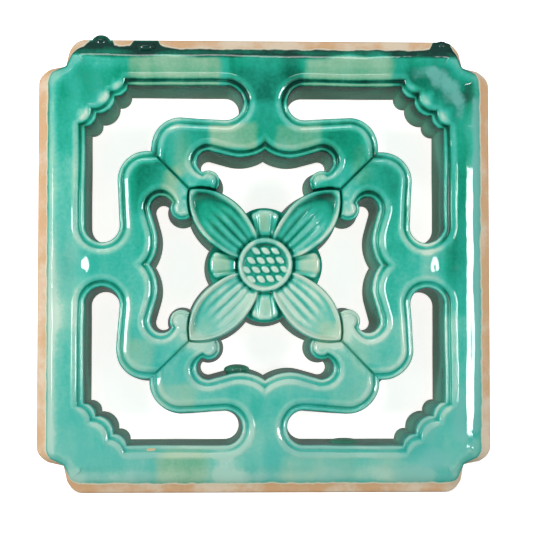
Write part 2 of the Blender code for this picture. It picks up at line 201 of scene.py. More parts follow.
def offset_outline(points: Outline, distances: Sequence[float]) -> Outline:
    """Move each point of a closed outline out along the line between its two edges' normals.

    Args:
        points: The outline, anticlockwise.
        distances: How far each point's edges move out.

    Returns:
        The moved outline.
    """
    moved = []
    for i, (u, v) in enumerate(points):
        before, after = points[i - 1], points[(i + 1) % len(points)]
        normals = []
        for a, b in ((before, (u, v)), ((u, v), after)):
            length = math.hypot(b[0] - a[0], b[1] - a[1])
            normals.append(((b[1] - a[1]) / length, (a[0] - b[0]) / length))
        total = (normals[0][0] + normals[1][0], normals[0][1] + normals[1][1])
        scale = 2 * distances[i] / (total[0] ** 2 + total[1] ** 2)
        moved.append((u + total[0] * scale, v + total[1] * scale))
    return moved


@dataclass(frozen=True)
class FaceOutlines:
    """The outlines on the block's front. Shares are of the ring's reach from the middle."""

    side: float
    border: float = 0.0315
    slot: float = 0.0227
    stem: float = 0.0296
    scallop_start: float = 0.0279
    cusp_along: float = 0.0194
    cusp_down: float = 0.0077
    side_lobe_rise: float = 0.0025
    middle_lobe_rise: float = 0.0038
    shoulder_u: float = 0.579
    shoulder_v: float = 0.811
    shoulder_radius: float = 0.2067
    ring_notch: float = 0.785
    hook_u: float = 0.390
    hook_v: float = 0.707
    hook_radius: float = 0.0778
    bulge_rise: float = 0.0307
    bulge_radius: float = 0.2923
    bulge_gap: float = 0.0207
    knob_drop: float = 0.137
    knob_radius: float = 0.0825
    petal_reach: float = 0.736
    petal_widest: float = 0.4175
    petal_half: float = 0.166
    petal_root_radius: float = 0.546
    sepal_reach: float = 0.394
    sepal_arch_radius: float = 0.2234
    disc_radius: float = 0.1905
    lobe_shift: float = 0.8
    scallop_start_shift: float = 0.4
    ring_notch_shift: float = 0.9
    knob_ease: float = 0.6
    middle_lobe_steps: int = 20
    side_lobe_steps: int = 9
    slot_end_steps: int = 28
    shoulder_steps: int = 20
    bulge_steps: int = 16
    hook_steps: int = 26
    knob_steps: int = 16
    petal_steps: int = 14
    sepal_steps: int = 8

    @property
    def slot_outer(self) -> float:
        """How far the outer edge of a slot is from the middle."""
        return self.side / 2 - self.border

    @property
    def reach(self) -> float:
        """How far the ring reaches from the middle."""
        return self.slot_outer - self.slot

    def corner_opening(self, step: float) -> Outline:
        """The upper right corner opening, this far out from its wall's front edge.

        Args:
            step: The distance out, or in where it is negative.

        Returns:
            The outline, from the middle lobe round one arm to the ring's notch and back by the other.
        """
        outer = self.slot_outer
        shift = self.lobe_shift * step
        corner = (outer - self.scallop_start + self.scallop_start_shift * step, outer + step)
        cusp = (outer - self.cusp_along + shift, outer - self.cusp_down + shift)
        middle_lobe = lobe((cusp[1], cusp[0]), cusp, self.middle_lobe_rise, self.middle_lobe_steps)
        side_lobe = lobe(cusp, corner, self.side_lobe_rise, self.side_lobe_steps)
        slot_end = ((self.stem + self.slot) / 2, outer - self.slot / 2)
        end = arc(slot_end, self.slot / 2 + step, math.pi / 2, math.pi * 3 / 2, self.slot_end_steps)
        shoulder_at = (self.shoulder_u * self.reach, self.shoulder_v * self.reach)
        shoulder_radius = self.shoulder_radius * self.reach - step
        shoulder = arc(shoulder_at, shoulder_radius, math.pi / 2, 0.0, self.shoulder_steps)
        notch = self.ring_notch * self.reach - self.ring_notch_shift * step
        half = middle_lobe[self.middle_lobe_steps // 2:] + side_lobe[1:] + end + shoulder + [(notch, notch)]
        return half + [(v, u) for u, v in half[-2:0:-1]]

    def petal_half_width(self, s: float, set_in: float = 0.0) -> float:
        """Half the width of a petal at a distance along it from the middle of the flower."""
        widest = self.petal_widest * self.reach
        width = self.petal_half * self.reach
        length = self.petal_reach * self.reach - widest
        tip_radius = (length * length + width * width) / (2 * width)
        radius = tip_radius if s > widest else self.petal_root_radius * self.reach
        return width - radius + math.sqrt(max(radius * radius - (s - widest) ** 2, 0.0)) - set_in

    def petal_tip(self, set_in: float = 0.0) -> float:
        """How far a petal reaches along its own line when its edge is set in."""
        widest = self.petal_widest * self.reach
        width = self.petal_half * self.reach
        length = self.petal_reach * self.reach - widest
        radius = (length * length + width * width) / (2 * width)
        return widest + math.sqrt(radius * radius - (radius - width + set_in) ** 2)

    def petal_edge(self, s: float, grow: float) -> Point:
        """A point on the upper edge of the upper right petal."""
        t = self.petal_half_width(s, -grow)
        return (s - t) * DIAGONAL, (s + t) * DIAGONAL

    def sepal_arch(self, grow: float) -> tuple[Point, float]:
        """The centre and the radius of the arch that ends the upper sepal."""
        radius = self.sepal_arch_radius * self.reach
        return (0.0, self.sepal_reach * self.reach - radius), radius + grow

    def bracket_opening(self, step: float) -> Outline:
        """The upper opening between ring and flower, this far out from its wall's front edge.

        Args:
            step: The distance out, which moves the ring's side and eases the knobs, or in, which moves all.

        Returns:
            The closed outline.
        """
        reach = self.reach
        grow = max(0.0, -step)
        hook_at = (self.hook_u * reach, self.hook_v * reach)
        knob_at = (hook_at[0], hook_at[1] - self.knob_drop * reach)
        rise = (self.bulge_rise + self.bulge_radius) * reach
        apart = (self.bulge_radius + self.hook_radius + self.bulge_gap) * reach
        bulge_at = (hook_at[0] - math.sqrt(apart * apart - rise * rise), hook_at[1] + rise)
        bulge_radius = self.bulge_radius * reach - step
        hook_radius = self.hook_radius * reach
        ease = -grow if grow else self.knob_ease * step
        knob_radius = self.knob_radius * reach - ease

        gap = (hook_at[0] - bulge_at[0], hook_at[1] - bulge_at[1])
        lean = math.acos((bulge_radius + hook_radius + step) / math.hypot(*gap))
        tangent = math.atan2(gap[1], gap[0]) - lean
        cusp_angle = -math.pi / 2 - math.asin(bulge_at[0] / bulge_radius)
        bulge = arc(bulge_at, bulge_radius, cusp_angle, tangent, self.bulge_steps)

        down = hook_at[1] - knob_at[1]
        end_radius = hook_radius + ease
        drop = (down * down + end_radius * end_radius - knob_radius * knob_radius) / (2 * down)
        across = math.sqrt(end_radius * end_radius - drop * drop)
        hook_end = math.atan2(-drop, across)
        hook = []
        for i in range(self.hook_steps + 1):
            share = i / self.hook_steps
            angle = tangent + math.pi + (hook_end - tangent - math.pi) * share
            radius = hook_radius + ease + (step - ease) * (1.0 - smooth_step(share * 2.0 - 1.0))
            hook.append((hook_at[0] + radius * math.cos(angle), hook_at[1] + radius * math.sin(angle)))

        def knob_foot(angle: float) -> Point:
            """A point on the knob's own round, at its wall."""
            radius = self.knob_radius * reach + grow
            return knob_at[0] + radius * math.cos(angle), knob_at[1] + radius * math.sin(angle)

        def in_petal(angle: float) -> bool:
            """Whether that point lies inside the petal beside the knob."""
            u, v = knob_foot(angle)
            return (v - u) * DIAGONAL < self.petal_half_width((u + v) * DIAGONAL, -grow)

        knob_start = math.atan2(down - drop, across)
        farthest_knob_end = math.radians(250)
        knob_end = first_inside(in_petal, math.pi, farthest_knob_end)
        knob = arc(knob_at, knob_radius, knob_start, knob_end, self.knob_steps)
        petal_start = sum(knob_foot(knob_end)) * DIAGONAL
        arch_at, arch_radius = self.sepal_arch(grow)

        def in_sepal(s: float) -> bool:
            """Whether the petal's edge has reached the sepal's arch."""
            u, v = self.petal_edge(s, grow)
            return math.hypot(u - arch_at[0], v - arch_at[1]) < arch_radius

        petal_end = first_inside(in_sepal, self.petal_widest * reach, self.sepal_reach * reach * DIAGONAL)
        stretch = petal_end - petal_start
        petal = [
            self.petal_edge(petal_start + stretch * i / self.petal_steps, grow)
            for i in range(self.petal_steps + 1)
        ]
        meet = petal[-1]
        sepal_angle = math.atan2(meet[1] - arch_at[1], meet[0] - arch_at[0])
        sepal = arc(arch_at, arch_radius, sepal_angle, math.pi / 2, self.sepal_steps)
        half = bulge + hook + knob[1:-1] + petal + sepal[1:]
        return half + [(-u, v) for u, v in half[-2:0:-1]]


@dataclass(frozen=True)
class OuterEdge:
    """The notched outer edge: the glazed front is set in, and the bare sides flare out to the full size."""

    side: float
    depth: float
    front_set_in: float = 0.0067
    flare_fade_end: float = 0.016
    notch_start: float = 0.030
    notch_bend_along: float = 0.0226
    notch_bend_in: float = 0.0098
    notch_vertex: float = 0.0185
    profile: tuple[Point, ...] = (
        (-0.0130, 0.0006), (-0.0112, 0.0007), (-0.0094, 0.0010), (-0.0076, 0.00135), (-0.0058, 0.0017),
        (-0.0040, 0.0022), (-0.0023, 0.0029), (-0.0008, 0.0039), (0.0006, 0.0051), (0.0022, 0.0063),
        (0.0044, 0.0078), (0.0062, 0.0093), (0.0067, 0.0120),
    )
    land_end: float = 0.048
    back_chamfer: float = 0.002
    roll_at_corners: float = 0.34
    left_fade: float = 0.012
    curve_steps: int = 5
    notch_steps: int = 3
    profile_steps: int = 3
    land_steps: int = 4

    def outline(self) -> tuple[Outline, list[float]]:
        """The glazed front's outer edge.

        Returns:
            Its points, anticlockwise, and how much of the flare each point takes.
        """
        half = self.side / 2
        edge = half - self.front_set_in
        start = half - self.notch_start
        bend = (half - self.notch_bend_in, half - self.notch_bend_along)
        vertex = half - self.notch_vertex
        across = edge - bend[0]
        rise = bend[1] - start
        radius = (across * across + rise * rise) / (2 * across)
        curve = arc((edge - radius, start), radius, 0.0, math.asin(rise / radius), self.curve_steps)
        steps = self.notch_steps
        near = [
            (bend[0] + (vertex - bend[0]) * k / steps, bend[1] + (vertex - bend[1]) * k / steps)
            for k in range(1, steps)
        ]
        quarter = curve + near + [(vertex, vertex)] + [(v, u) for u, v in reversed(curve + near)]
        points = [point for turn in QUARTER_TURNS for point in turned(quarter, turn)]
        fade = self.notch_start - self.flare_fade_end
        flares = []
        for u, v in points:
            to_corner = half - min(abs(u), abs(v))
            flares.append(smooth_step((to_corner - self.flare_fade_end) / fade))
        return points, flares

    def levels(self) -> Levels:
        """The outer outline at each depth.

        Returns:
            The levels, from the front face to the back.
        """
        front, flares = self.outline()
        narrow = self.roll_at_corners
        from_left = [u + self.side / 2 - self.front_set_in for u, _ in front]
        wider = [share * smooth_step(gap / self.left_fade) for share, gap in zip(flares, from_left)]
        made = []
        for out, depth in curve_through(self.profile, self.profile_steps):
            if out <= 0.0:
                moved = offset_outline(front, [out * (narrow + (1.0 - narrow) * share) for share in wider])
            else:
                moved = offset_outline(front, [out * share for share in flares])
            made.append((moved, depth))
        widest, land_start = made[-1][0], self.profile[-1][1]
        for k in range(1, self.land_steps + 1):
            made.append((widest, land_start + (self.land_end - land_start) * k / self.land_steps))
        made.append((offset_outline(widest, [-self.back_chamfer] * len(front)), self.depth))
        return made


@dataclass(frozen=True)
class Moulding:
    """The stepped moulding round an opening, as distances out from the wall's edge and depths."""

    depth: float
    profile: tuple[Point, ...] = (
        (0.0094, 0.0006), (0.0084, 0.00045), (0.0074, 0.0002), (0.0064, 0.00045), (0.0054, 0.0008),
        (0.0046, 0.0012), (0.0040, 0.0022), (0.0035, 0.0028), (0.0028, 0.0025), (0.0017, 0.0019),
        (0.0008, 0.0021), (0.0002, 0.0029), (0.0, 0.0040),
    )
    profile_steps: int = 3
    wall_shares: tuple[float, ...] = (0.05, 0.2, 0.45, 0.75)
    back_round: float = 0.0012

    def levels(self, outline: Callable[[float], Outline], draft: float, longest: float) -> Levels:
        """An opening's outline at each depth: moulding, ledge, wall with its draft, and rounded back edge.

        Args:
            outline: The opening's outline for a distance out.
            draft: How far the wall closes in towards the back.
            longest: The longest straight piece wanted.

        Returns:
            The levels, from front to back.
        """
        made = [(outline(step), depth) for step, depth in curve_through(self.profile, self.profile_steps)]
        top = self.profile[-1][1]
        wall = self.depth - self.back_round - top
        for share in self.wall_shares + (1.0,):
            made.append((outline(-draft * share), top + wall * share))
        made.append((outline(-draft + self.back_round), self.depth))
        return divided(made, longest)


class Cut(Enum):
    """What a collection of shapes does to the block."""

    TAKE_AWAY = "DIFFERENCE"
    ADD = "UNION"


def deselect() -> None:
    """Leave object mode's selection empty."""
    if bpy.context.object is not None and bpy.context.object.mode != "OBJECT":
        bpy.ops.object.mode_set(mode="OBJECT")
    bpy.ops.object.select_all(action="DESELECT")


def activate(piece: bpy.types.Object) -> None:
    """Make one object the selected and active one."""
    deselect()
    piece.select_set(True)
    bpy.context.view_layer.objects.active = piece


def shaped(piece: bpy.types.Object, shape: Callable[[Vector], Vector]) -> None:
    """Move every vertex of a mesh to where a rule puts it."""
    for vertex in piece.data.vertices:
        vertex.co = shape(vertex.co)


def copies_round(piece: bpy.types.Object, start: float, count: int = 4) -> list[bpy.types.Object]:
    """Turn a finished shape about the face's middle line, and copy it round.

    Args:
        piece: The shape, modelled along +Z about the origin.
        start: The first one's turn in radians.
        count: How many there are.

    Returns:
        All of them, each with its own mesh.
    """
    made = []
    for i in range(count):
        obj = bpy.data.objects.new(f"{piece.name}_{i + 1}", piece.data.copy())
        bpy.context.scene.collection.objects.link(obj)
        turn = Euler((0.0, start + i * 2 * math.pi / count, 0.0)).to_matrix().to_4x4()
        obj.data.transform(turn)
        made.append(obj)
    bpy.data.objects.remove(piece, do_unlink=True)
    return made


def mesh_object(mesh: bmesh.types.BMesh, name: str) -> bpy.types.Object:
    """Turn a bmesh into an object, with its faces pointing out."""
    bmesh.ops.recalc_face_normals(mesh, faces=mesh.faces)
    data = bpy.data.meshes.new(name)
    mesh.to_mesh(data)
    mesh.free()
    obj = bpy.data.objects.new(name, data)
    bpy.context.scene.collection.objects.link(obj)
    return obj


def skin(mesh: bmesh.types.BMesh, rings: list[list[bmesh.types.BMVert]]) -> None:
    """Put faces between each pair of neighbouring closed rings."""
    for near, far in zip(rings, rings[1:]):
        count = len(near)
        for i in range(count):
            j = (i + 1) % count
            mesh.faces.new((near[i], near[j], far[j], far[i]))


def stacked(levels: Levels, name: str) -> bpy.types.Object:
    """A closed shape of stacked outlines, such as a cutter.

    Args:
        levels: Its outlines and their depths, with as many points each.
        name: The object's name.

    Returns:
        The object.
    """
    mesh = bmesh.new()
    rings = [[mesh.verts.new((u, depth, v)) for u, v in points] for points, depth in levels]
    skin(mesh, rings)
    mesh.faces.new(rings[0])
    mesh.faces.new(rings[-1])
    return mesh_object(mesh, name)


def inside(outline: Outline, places: np.ndarray) -> np.ndarray:
    """Tell which places lie inside a closed outline.

    Args:
        outline: The outline.
        places: One place a row.

    Returns:
        A true value for each place inside.
    """
    crossed = np.zeros(len(places), bool)
    u, v = places[:, 0], places[:, 1]
    for (u1, v1), (u2, v2) in zip(outline, outline[1:] + outline[:1]):
        if v1 != v2:
            spans = (v1 > v) != (v2 > v)
            crossed ^= spans & (u < u1 + (v - v1) * (u2 - u1) / (v2 - v1))
    return crossed


@dataclass(frozen=True)
class Dent:
    """A shallow finger mark in the face: its place, its two half lengths and its depth."""

    u: float
    v: float
    across: float
    up: float
    depth: float


DENTS = (
    Dent(0.1170, -0.0010, 0.0060, 0.0100, 0.0018),
    Dent(0.1272, -0.0040, 0.0026, 0.0034, 0.0008),
    Dent(-0.1235, 0.0000, 0.0075, 0.0125, 0.0030),
)


@dataclass
class PiercedSlab:
    """The frame, the four stems and the ring, with their eight openings."""

    outlines: FaceOutlines
    outer: OuterEdge
    moulding: Moulding
    corner_draft: float = 0.0018
    centre_draft: float = 0.0024
    longest: float = 0.0034
    land_grid: float = 0.0032
    back_grid: float = 0.0080
    ring_clearance: float = 0.62
    dent_grid: float = 0.0009
    dent_grid_reach: float = 2.0
    dent_grid_shift: Point = (0.00011, 0.00007)
    dent_ring_clearance: float = 0.002
    same_place: float = 1e-7

    def build(self) -> bpy.types.Object:
        """Model the slab.

        Returns:
            The slab, with its face's plane at y = 0 and its back at y = depth.
        """
        mesh = bmesh.new()
        walls = [divided(self.outer.levels(), self.longest)]
        for outline, draft in (
            (self.outlines.corner_opening, self.corner_draft),
            (self.outlines.bracket_opening, self.centre_draft),
        ):
            levels = self.moulding.levels(outline, draft, self.longest)
            for turn in QUARTER_TURNS:
                walls.append([(turned(points, turn), depth) for points, depth in levels])
        fronts, backs = [], []
        for levels in walls:
            rings = [[mesh.verts.new((u, depth, v)) for u, v in points] for points, depth in levels]
            skin(mesh, rings)
            fronts.append(rings[0])
            backs.append(rings[-1])
        self.fill(mesh, fronts, self.land_grid, self.dent_places())
        self.fill(mesh, backs, self.back_grid, [])
        return mesh_object(mesh, "glazed_block")

    def dent_places(self) -> list[Vector]:
        """A fine grid of points over each dent, a little off the coarse grid's points.

        Returns:
            The points of all the dents.
        """
        made = []
        reach = self.dent_grid_reach
        shift_u, shift_v = self.dent_grid_shift
        for dent in DENTS:
            columns = int(reach * dent.across / self.dent_grid)
            rows = int(reach * dent.up / self.dent_grid)
            for row in range(-rows, rows + 1):
                for column in range(-columns, columns + 1):
                    u = (column + 0.5 * (row % 2)) * self.dent_grid
                    v = row * self.dent_grid
                    if (u / dent.across) ** 2 + (v / dent.up) ** 2 < reach * reach:
                        made.append(Vector((dent.u + u + shift_u, dent.v + v + shift_v)))
        return made

    def land_places(self, grid: float) -> list[Point]:
        """Points in rows over the whole face, at the corners of even triangles."""
        half = self.outlines.side / 2
        row_gap = grid * TRIANGLE_HEIGHT
        rows, columns = int(half / row_gap), int(half / grid)
        return [
            ((column + 0.5 * (row % 2)) * grid, row * row_gap)
            for row in range(-rows, rows + 1)
            for column in range(-columns, columns + 1)
        ]

    def fill(self, mesh: bmesh.types.BMesh, rings: list[list[bmesh.types.BMVert]], grid: float,
             finer: list[Vector]) -> None:
        """Fill the flat land between the outer ring and the openings with even triangles.

        Args:
            mesh: The mesh that holds the rings.
            rings: The outer ring and then the openings' rings, all at one depth.
            grid: The spacing of the points between them.
            finer: More points, where the land takes a dent.
        """
        verts = [vert for ring in rings for vert in ring]
        depth = verts[0].co.y
        tree = KDTree(len(verts))
        for i, vert in enumerate(verts):
            tree.insert(vert.co, i)
        tree.balance()
        edges = []
        start = 0
        for ring in rings:
            edges += [(start + i, start + (i + 1) % len(ring)) for i in range(len(ring))]
            start += len(ring)
        holes = [[(vert.co.x, vert.co.z) for vert in ring] for ring in rings[1:]]
        added = self.land_places(grid)
        in_hole = np.any([inside(hole, np.array(added)) for hole in holes], axis=0)
        places = [Vector((vert.co.x, vert.co.z)) for vert in verts]
        for (u, v), lost in zip(added, in_hole):
            if not lost and tree.find((u, depth, v))[2] > self.ring_clearance * grid:
                places.append(Vector((u, v)))
        for place in finer:
            if tree.find((place.x, depth, place.y))[2] > self.dent_ring_clearance:
                places.append(place)
        faces_inside_edges = 1
        corners, _, faces, origins, _, _ = delaunay_2d_cdt(
            places, edges, [], faces_inside_edges, self.same_place
        )
        nowhere = Vector((0.0, 0.0))
        middles = np.array([sum((corners[i] for i in face), nowhere) / len(face) for face in faces])
        in_hole = np.any([inside(hole, middles) for hole in holes], axis=0)
        used: dict[int, bmesh.types.BMVert] = {}
        for face, lost in zip(faces, in_hole):
            if lost:
                continue
            for index in face:
                if index not in used:
                    origin = origins[index][0] if origins[index] else len(verts)
                    if origin < len(verts):
                        used[index] = verts[origin]
                    else:
                        used[index] = mesh.verts.new((corners[index].x, depth, corners[index].y))
            mesh.faces.new([used[index] for index in face])


@dataclass
class Petal:
    """One pointed petal along +Z: a rounded rim round a dish, with ridges that fan out from the disc."""

    outlines: FaceOutlines
    set_in: float = 0.0005
    foot: float = 0.0100
    rim_width: float = 0.0034
    rim_depth: float = 0.0008
    edge_depth: float = 0.0030
    crest: float = 0.35
    dish_start: float = 0.9
    dish: float = 0.0040
    dish_lift_at_sides: float = 0.35
    dish_lift_at_tip: float = 0.75
    tip_start: float = 0.78
    tip_length: float = 0.22
    tip_slope: float = 0.7
    ridge_height: float = 0.0016
    ridge_share: float = 0.38
    ridge_power: float = 0.75
    ridge_fade_start: float = 0.42
    ridge_fade_length: float = 0.30
    root_share: float = 0.8
    least: float = 0.0001
    columns: int = 50
    rows: int = 52

    def depth_at(self, to_edge: float, side: float, along: float) -> float:
        """The depth of the petal's face.

        Args:
            to_edge: The distance to the petal's edge.
            side: The share of the half width, from the middle line.
            along: The share of the length, from the root.

        Returns:
            The depth below the front face.
        """
        t = to_edge / self.rim_width
        if t < self.crest:
            roll = math.sqrt(max(0.0, 1.0 - (1.0 - t / self.crest) ** 2))
            return self.edge_depth + (self.rim_depth - self.edge_depth) * roll
        down = smooth_step((t - self.crest) / self.dish_start)
        tip = smooth_step((along - self.tip_start) / self.tip_length)
        lift = self.dish_lift_at_sides * side * side
        dish = self.dish * (1.0 - lift) * (1.0 - self.dish_lift_at_tip * tip)
        ridges = self.ridge_height * abs(math.sin(math.pi * side / self.ridge_share)) ** self.ridge_power
        ridges *= 1.0 - smooth_step((along - self.ridge_fade_start) / self.ridge_fade_length)
        return self.rim_depth + (dish - ridges) * down

    def build(self) -> bpy.types.Object:
        """Model the petal from a grid whose edge is drawn down to its foot.

        Returns:
            The petal, before it is turned to a diagonal.
        """
        deselect()
        bpy.ops.mesh.primitive_grid_add(x_subdivisions=self.columns, y_subdivisions=self.rows, size=2)
        piece = bpy.context.object
        piece.name = "petal"
        start = self.outlines.disc_radius * self.outlines.reach * self.root_share
        tip = self.outlines.petal_tip(self.set_in) - self.least

        def shape(co: Vector) -> Vector:
            """Place a grid point, with the columns closer together near the edges."""
            across = math.sin(math.pi / 2 * co.x)
            along = math.sin(math.pi / 4 * (co.y + 1.0))
            s = start + (tip - start) * along
            width = self.outlines.petal_half_width(s, self.set_in)
            side = abs(across)
            to_edge = min((1.0 - side) * width, (tip - s) * self.tip_slope + self.least)
            placed = Vector((width * across, self.depth_at(to_edge, side, along), s))
            placed.y += root_roll(self.outlines, placed)
            return placed

        shaped(piece, shape)
        return drawn_down(piece, self.foot)


def root_roll(outlines: FaceOutlines, place: Vector, gap: float = 0.0010, slope_width: float = 0.0019,
              slope: float = 0.36, roll_width: float = 0.0009, fall: float = 0.0024) -> float:
    """How far a petal or sepal slopes and then rolls down beside the disc, where a narrow groove parts them.

    Args:
        outlines: The face's outlines.
        place: A point of the petal or sepal.
        gap: The groove's width.
        slope_width: How wide the slope before the edge is.
        slope: How steep it is.
        roll_width: How wide the rolled edge is.
        fall: How far the edge rolls down.

    Returns:
        The added depth.
    """
    away = math.hypot(place.x, place.z) - outlines.disc_radius * outlines.reach - gap
    sloped = min(max(1.0 - (away - roll_width) / slope_width, 0.0), 1.0)
    share = min(max(away / roll_width, 0.0), 1.0)
    return slope * slope_width * sloped + fall * (1.0 - math.sqrt(1.0 - (1.0 - share) ** 2))


def drawn_down(piece: bpy.types.Object, foot: float, same_place: float = 0.00002) -> bpy.types.Object:
    """Extrude the open edge of a relief to a flat foot, and close it.

    Args:
        piece: An open grid that faces -Y.
        foot: The depth of the flat foot.
        same_place: How close points are that become one.

    Returns:
        The closed piece.
    """
    activate(piece)
    bpy.ops.object.mode_set(mode="EDIT")
    bpy.ops.mesh.select_mode(type="EDGE")
    bpy.ops.mesh.select_all(action="DESELECT")
    bpy.ops.mesh.select_non_manifold()
    bpy.ops.mesh.extrude_edges_move()
    bpy.ops.transform.resize(value=(1.0, 0.0, 1.0), center_override=(0.0, foot, 0.0))
    bpy.ops.mesh.edge_face_add()
    bpy.ops.mesh.select_all(action="SELECT")
    bpy.ops.mesh.remove_doubles(threshold=same_place)
    bpy.ops.mesh.normals_make_consistent(inside=False)
    bpy.ops.object.mode_set(mode="OBJECT")
    return piece


@dataclass
class Sepal:
    """One small fan along +Z between two petals: a rounded pad between two side lobes, with an arched end.

    The pad, the lobes and the edges start at shares of the half width, counted from the middle line.
    """

    outlines: FaceOutlines
    set_in: float = 0.0006
    corner_cut: float = 0.0030
    foot: float = 0.0105
    pad_depth: float = 0.0030
    pad_end: float = 0.66
    pad_blend: float = 0.30
    side_depth: float = 0.0042
    lobe_start: float = 0.58
    lobe_height: float = 0.0007
    edge_start: float = 0.84
    edge_blend: float = 0.16
    edge_fall: float = 0.0022
    lip_height: float = 0.0009
    lip_width: float = 0.0045
    roll_depth: float = 0.0036
    roll_width: float = 0.0030
    half_width: float = 0.0100
    root_half_width: float = 0.0052
    root_share: float = 0.8
    columns: int = 40
    rows: int = 26

    def build(self) -> bpy.types.Object:
        """Model the sepal from a grid whose edge is drawn down to its foot.

        Returns:
            The upper sepal.
        """
        deselect()
        bpy.ops.mesh.primitive_grid_add(x_subdivisions=self.columns, y_subdivisions=self.rows, size=2)
        piece = bpy.context.object
        piece.name = "sepal"
        arch_at, arch_radius = self.outlines.sepal_arch(-self.set_in)
        start = self.outlines.disc_radius * self.outlines.reach * self.root_share

        def shape(co: Vector) -> Vector:
            """Place a grid point on the fan, with the rows closer together near the arched end.

            Args:
                co: The point on the grid, whose sides are at -1 and 1.

            Returns:
                Its place on the sepal.
            """
            along = math.sin(math.pi / 4 * (co.y + 1.0))
            u = co.x * (self.root_half_width + (self.half_width - self.root_half_width) * along)
            end = arch_at[1] + math.sqrt(arch_radius * arch_radius - u * u) - self.corner_cut * co.x ** 4
            v = start + (end - start) * along
            side = abs(co.x)
            on_pad = smooth_step((self.pad_end - side) / self.pad_blend)
            past_edge = smooth_step((side - self.edge_start) / self.edge_blend)
            on_lobe = smooth_step((side - self.lobe_start) / self.edge_blend) * (1.0 - past_edge)
            depth = self.side_depth + (self.pad_depth - self.side_depth) * on_pad
            depth += self.edge_fall * past_edge
            depth -= self.lobe_height * on_lobe
            to_end = end - v
            depth -= self.lip_height * smooth_step(1.0 - to_end / self.lip_width)
            depth += self.roll_depth * (1.0 - math.sqrt(max(0.0, min(1.0, to_end / self.roll_width))))
            placed = Vector((u, depth, v))
            placed.y += root_roll(self.outlines, placed)
            return placed

        shaped(piece, shape)
        return drawn_down(piece, self.foot)


@dataclass
class SeedDisc:
    """The flower's centre: a round disc with a rolled rim, and slanted rows of seeds in its sunk field."""

    outlines: FaceOutlines
    foot: float = 0.0110
    rim_width: float = 0.0046
    rim_depth: float = 0.0004
    crest: float = 0.45
    side_depth: float = 0.0034
    field_depth: float = 0.0032
    pitch: float = 0.0063
    seed_height: float = 0.0019
    seed_share: float = 0.90
    slant: float = 0.5
    row_drop: float = 0.5
    corner_power: float = 2.8
    dome_power: float = 0.8
    overhang: float = 0.15
    rim_steps: int = 12
    rim_points: int = 112
    seed_segments: int = 20
    seed_rings: int = 10

    def build(self) -> list[bpy.types.Object]:
        """Model the disc and its seeds.

        Returns:
            The disc's pieces, each seed as one.
        """
        radius = self.outlines.disc_radius * self.outlines.reach
        deselect()
        height = self.foot - self.side_depth
        bpy.ops.mesh.primitive_cylinder_add(
            vertices=self.rim_points, radius=radius, depth=height,
            location=(0.0, self.side_depth + height / 2, 0.0), rotation=(math.pi / 2, 0.0, 0.0),
        )
        disc = bpy.context.object
        disc.name = "seed_disc"
        bpy.ops.object.transform_apply()
        bpy.ops.object.mode_set(mode="EDIT")
        bpy.ops.mesh.select_mode(type="FACE")
        bpy.ops.mesh.select_all(action="DESELECT")
        mesh = bmesh.from_edit_mesh(disc.data)
        mesh.faces.ensure_lookup_table()
        min(mesh.faces, key=lambda face: face.calc_center_median().y).select_set(True)
        bmesh.update_edit_mesh(disc.data)
        before = self.side_depth
        for i in range(1, self.rim_steps + 1):
            share = i / self.rim_steps
            depth = self.rim_profile(share)
            bpy.ops.mesh.inset(thickness=self.rim_width / self.rim_steps)
            bpy.ops.transform.translate(value=(0.0, depth - before, 0.0))
            before = depth
        bpy.ops.object.mode_set(mode="OBJECT")
        return [disc] + self.seeds(radius - self.rim_width)

    def rim_profile(self, share: float) -> float:
        """The rim's depth at a share of its width from the outside."""
        if share < self.crest:
            roll = math.sqrt(1.0 - (1.0 - share / self.crest) ** 2)
            return self.side_depth + (self.rim_depth - self.side_depth) * roll
        down = smooth_step((share - self.crest) / (1.0 - self.crest))
        return self.rim_depth + (self.field_depth - self.rim_depth) * down

    def seeds(self, field: float) -> list[bpy.types.Object]:
        """Model the seeds in slanted rows over the field."""
        made = []
        most = 2 * math.ceil(field / self.pitch)
        for row in range(-most, most + 1):
            v = (row - self.row_drop) * self.pitch
            for column in range(-most, most + 1):
                u = (column - self.slant * row) * self.pitch
                if math.hypot(u, v) < field + self.pitch * self.overhang:
                    made.append(self.seed(u, v, len(made)))
        return made

    def seed(self, u: float, v: float, index: int) -> bpy.types.Object:
        """One seed: a low dome on a rounded, slanted square.

        Args:
            u: Its place across.
            v: Its place up.
            index: How many seeds were made before it.

        Returns:
            The seed.
        """
        deselect()
        bpy.ops.mesh.primitive_uv_sphere_add(
            segments=self.seed_segments, ring_count=self.seed_rings, radius=1.0
        )
        piece = bpy.context.object
        piece.name = f"seed_{index + 1}"
        half = self.pitch / 2 * self.seed_share
        power = 2.0 / self.corner_power
        pole = 1e-6

        def shape(co: Vector) -> Vector:
            """Square the ball's plan, lean it over and flatten it."""
            flat = math.hypot(co.x, co.y)
            if flat > pole:
                cos, sin = co.x / flat, co.y / flat
                across = math.copysign(abs(cos) ** power, cos) * flat * half
                up = math.copysign(abs(sin) ** power, sin) * flat * half
            else:
                across, up = 0.0, 0.0
            lift = math.copysign(abs(co.z) ** self.dome_power, co.z) * self.seed_height
            return Vector((u + across - up * self.slant, self.field_depth - lift, v + up))

        shaped(piece, shape)
        activate(piece)
        bpy.ops.object.mode_set(mode="EDIT")
        bpy.ops.mesh.select_all(action="SELECT")
        bpy.ops.mesh.normals_make_consistent(inside=False)
        bpy.ops.object.mode_set(mode="OBJECT")
        return piece


